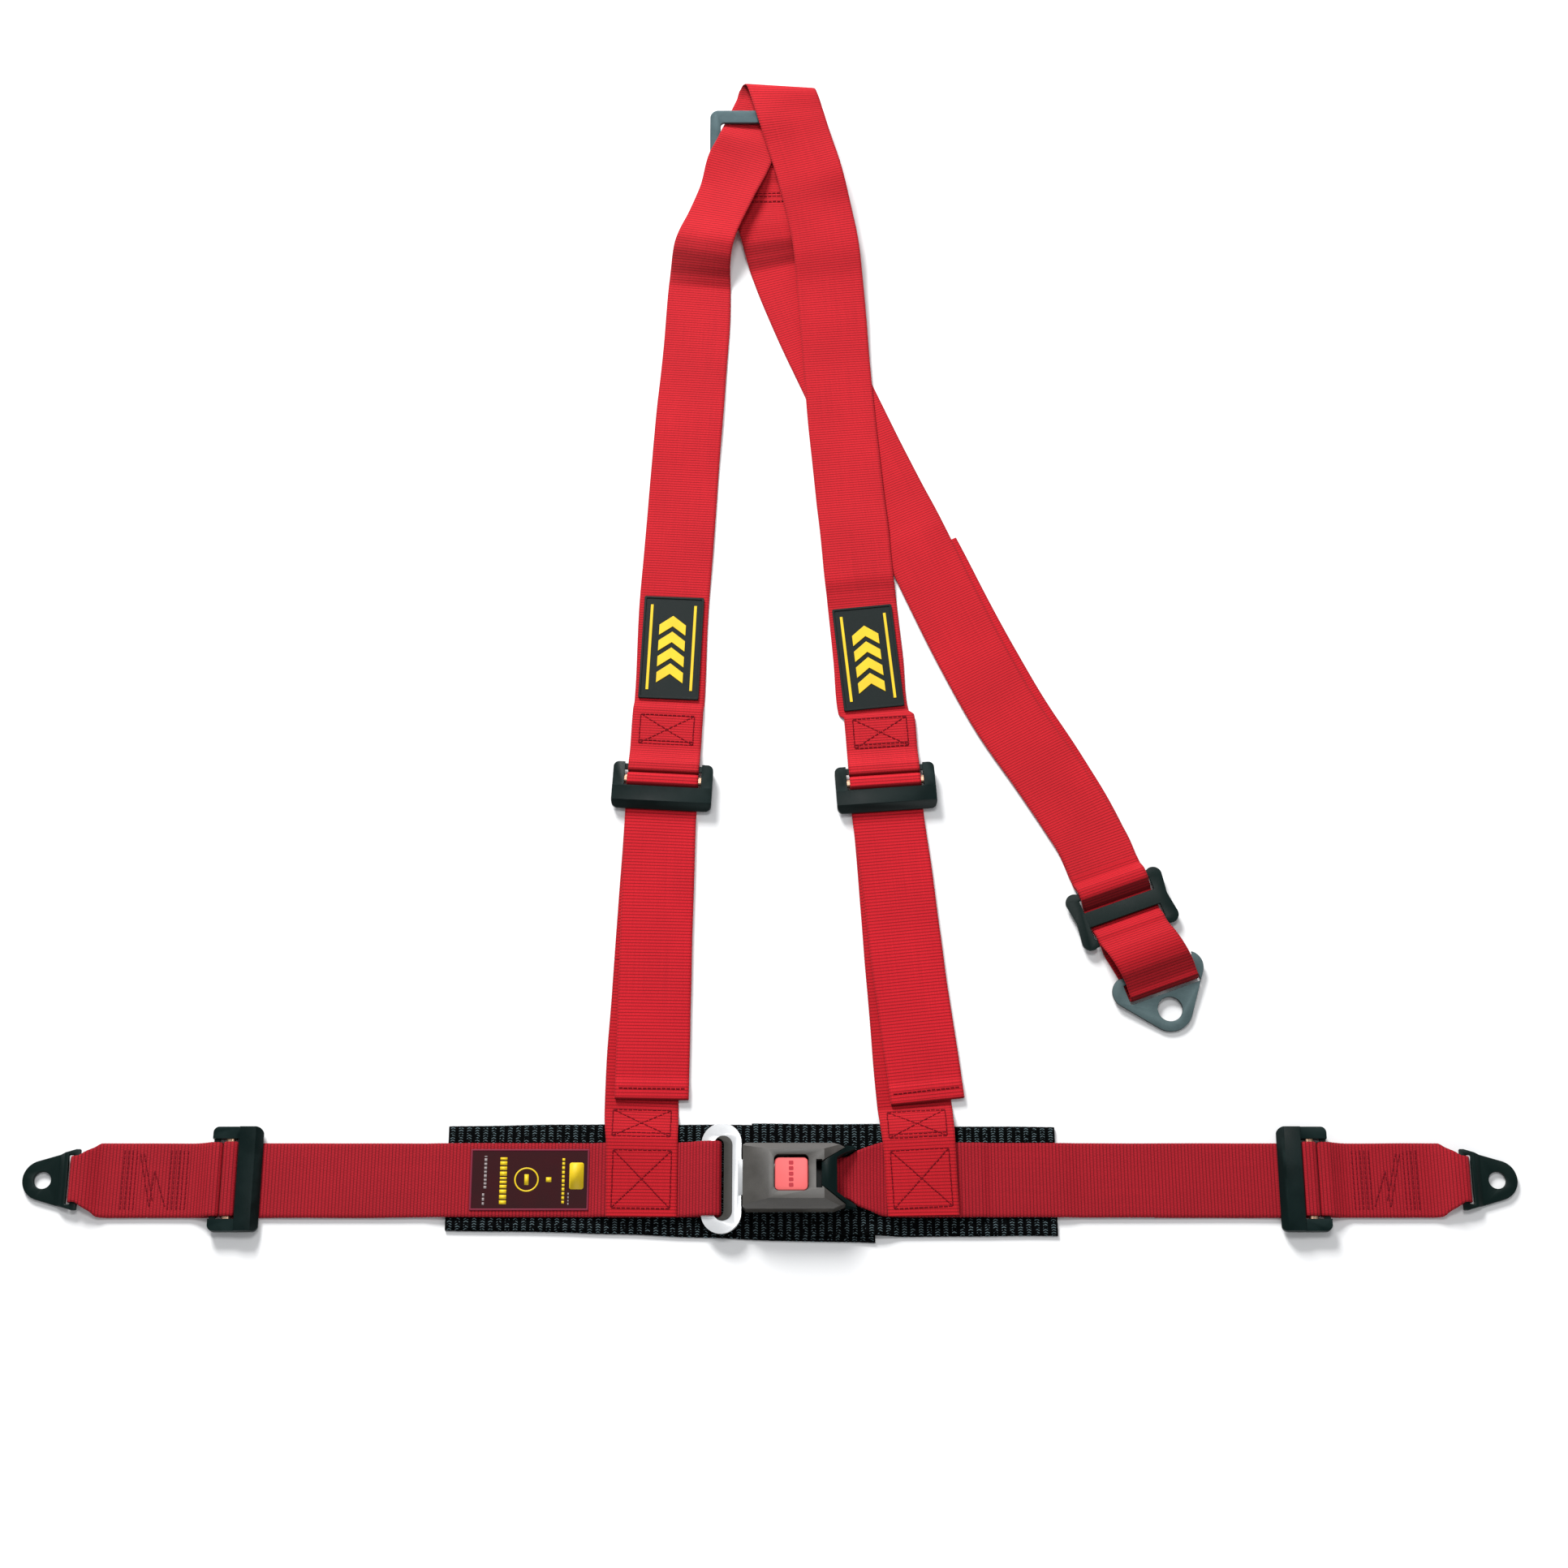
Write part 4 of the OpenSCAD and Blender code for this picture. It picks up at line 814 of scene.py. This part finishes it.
def rounded(x0, y0, x1, y1, r, steps=5):
    """A rounded rectangle's outline, anticlockwise."""
    out = []
    for cx, cy, start in ((x1 - r, y0 + r, -90), (x1 - r, y1 - r, 0), (x0 + r, y1 - r, 90),
                          (x0 + r, y0 + r, 180)):
        for i in range(steps + 1):
            a = math.radians(start + 90 * i / steps)
            out.append((cx + r * math.cos(a), cy + r * math.sin(a)))
    return out


def ring_prism(work, outer, inner, z0, z1):
    """A closed band between two outlines with the same number of points."""
    rings = [[work.verts.new((x, y, z)) for x, y in line] for line in (outer, inner) for z in (z0, z1)]
    low_out, high_out, low_in, high_in = rings
    for i in range(len(outer)):
        k = (i + 1) % len(outer)
        work.faces.new((low_out[i], low_out[k], high_out[k], high_out[i]))
        work.faces.new((high_out[i], high_out[k], high_in[k], high_in[i]))
        work.faces.new((high_in[i], high_in[k], low_in[k], low_in[i]))
        work.faces.new((low_in[i], low_in[k], low_out[k], low_out[i]))


BADGE_X, BADGE_Y, BADGE_RIM = 21.5, 39.5, 1.6
LABEL_X, LABEL_Y = 39.5, 20.5
PRINT_LOW, PRINT_TOP = 0.38, 0.5


def build_badge(side, x, y, turn):
    """A rubber badge with a raised rim, two bars and four chevrons, in place of a mark."""
    place = spot(x, y, WEB_T + 0.05, turn)
    edge = rounded(-BADGE_X, -BADGE_Y, BADGE_X, BADGE_Y, 1.2)
    work = bmesh.new()
    prism(work, edge, 0, 1.15)
    plate = from_work("badge_plate_" + side, work, RUBBER, place, 0.2)
    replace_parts(plate, "badge_" + side)
    work = bmesh.new()
    x_in, y_in = BADGE_X - BADGE_RIM, BADGE_Y - BADGE_RIM
    ring_prism(work, edge, rounded(-x_in, -y_in, x_in, y_in, 0.8), 0.8, 1.75)
    rim = from_work("badge_rim_" + side, work, RUBBER, place, 0.3)
    work = bmesh.new()
    for x0 in (-16.6, 14.6):
        bar(work, x0, -33, x0 + 2, 33, 1.0, 1.6)
    for low in (-27.5, -15.2, -2.9, 9.4):
        prism(work, [(-9.5, low), (0, low + 7), (9.5, low), (9.5, low + 8), (0, low + 15.2),
                     (-9.5, low + 8)], 1.0, 1.65)
    marks = from_work("badge_marks_" + side, work, YELLOW, place, 0.18)
    for piece in (plate, rim, marks):
        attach(piece, "shoulder_part")


def printed(work, x, half, y0, y1, longest):
    """A column of short bars of uneven length, in place of lettering."""
    y = y0
    while y < y1 - 0.6:
        end = min(y + RANDOM.uniform(longest * 0.5, longest), y1)
        bar(work, x - half, y, x + half, end, PRINT_LOW, PRINT_TOP)
        y = end + 0.9


def build_label():
    """A sewn label with plain bars and a ring, in place of print."""
    top = ON_PAD + WEB_T / 2 + 0.02
    place = spot(-160.1, LAP_Y, top, 0)
    work = bmesh.new()
    prism(work, rounded(-LABEL_X, -LABEL_Y, LABEL_X, LABEL_Y, 0.6), 0, 0.4)
    cloth = from_work("label_cloth", work, LABEL, place, 0.12)
    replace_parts(cloth, "approval_label")
    work = bmesh.new()
    outer, inner = [[sign * (side + grow) for sign in (-1, 1) for side in (LABEL_X, LABEL_Y)]
                    for grow in (0.1, -1.1)]
    ring_prism(work, rounded(*outer, 0.6), rounded(*inner, 0.4), 0.3, 0.56)
    border = from_work("label_border", work, LABEL_EDGE, place)
    work = bmesh.new()
    ring_prism(work, *[[(r * math.cos(a * math.pi / 20) - 2, r * math.sin(a * math.pi / 20))
                        for a in range(40)] for r in (8.2, 7.2)], PRINT_LOW, PRINT_TOP)
    prism(work, rounded(26.5, -6.5, 36, 11.5, 1.5), PRINT_LOW, PRINT_TOP)
    bar(work, -3.4, -3.6, -0.6, 3.6, PRINT_LOW, PRINT_TOP)
    bar(work, 11, -1.6, 14.5, 1.6, PRINT_LOW, PRINT_TOP)
    for x, half, y0, y1, longest in ((22.5, 0.9, -16, 15, 2.6), (-17.5, 2.3, -16.5, 15, 2.9)):
        printed(work, x, half, y0, y1, longest)
    marks = from_work("label_marks", work, YELLOW, place)
    work = bmesh.new()
    for x, half, y0, y1 in ((-30.5, 0.7, -17, -9), (-29.5, 0.9, -6, 16), (26.0, 0.4, -17, -8)):
        printed(work, x, half, y0, y1, 2.2)
    small = from_work("label_small_marks", work, PRINT_GREY, place)
    for piece in (cloth, border, marks, small):
        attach(piece, "tongue_side")


# ---------------------------------------------------------------- hardware


def build_hardware():
    """Rounds the hardware that shows most, and gives the CAD nodes that stay their finishes."""
    for name, node, width, material in (
            ("buckle_top_shell", "buckle_top_cover", 1.1, BUCKLE),
            ("buckle_bottom_shell", "buckle_bottom_cover", 0.5, BUCKLE),
            ("webbing_guide_shell", "webbing_guide", 0.6, BLACK),
            ("button_cap", "release_button", 0.7, BUTTON),
            ("tongue_plate_steel", "tongue_plate", 0.7, CHROME),
            ("tongue_liner", "tongue_trim", 0.5, LINER),
            ("harness_ring_steel", "harness_ring", 0.8, RING),
            ("rear_slide_steel", "rear_slide", 0.6, SATIN_BLACK),
            ("rear_anchor_steel", "rear_anchor", 0.6, ANCHOR),
            ("lap_anchor_plate_left", "lap_anchor_left", 0.6, SATIN_BLACK),
            ("lap_anchor_plate_right", "lap_anchor_right", 0.6, SATIN_BLACK)):
        softened(name, node, width, material)
    for part in ("shoulder", "lap"):
        for side in ("left", "right"):
            softened(f"{part}_adjuster_shell_{side}", f"{part}_adjuster_cover_{side}", 1.2, BLACK)
    finishes = {"buckle_frame": SATIN_BLACK, "cover_rivets": ZINC, "latch_pin": ZINC, "latch_spring": ZINC,
                "ejector_spring": ZINC, "latch": ZINC, "ejector": IVORY}
    for node, made in frame["nodes"].items():
        if "adjuster_frame" in node:
            finishes[node] = SATIN_BLACK
        if "lock_bar" in node:
            finishes[node] = BRASSY
    for node, material in finishes.items():
        data = frame["nodes"][node].data
        data.materials.clear()
        data.materials.append(material)


def build_button_marks():
    """Five short bars on the button, in place of lettering."""
    work = bmesh.new()
    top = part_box("release_button")[1].z / MM
    for k in range(5):
        prism(work, rounded(12.6, LAP_Y - 8.7 + 3.7 * k, 15.6, LAP_Y - 6.1 + 3.7 * k, 0.5, 2),
              top - 0.25, top + 0.12)
    marks = from_work("button_marks", work, BUTTON_MARK, Matrix.Identity(4), 0.08)
    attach(marks, "button")


def floor():
    """A plain pale floor, just under the harness."""
    made = link("floor", mesh_from("floor", [(-9, -9, 0), (9, -9, 0), (9, 9, 0), (-9, 9, 0)],
                                   [(0, 1, 2, 3)]), FLOOR)
    made.location.z = -0.0003


camera()
studio()
floor()
build_hardware()
build_pads()
build_lap()
build_stubs()
build_shoulder()
build_rear()
build_badge("left", -71.2, -17, -2.5)
build_badge("right", 69.4, -24.5, 6)
build_label()
build_button_marks()
bpy.context.view_layer.update()
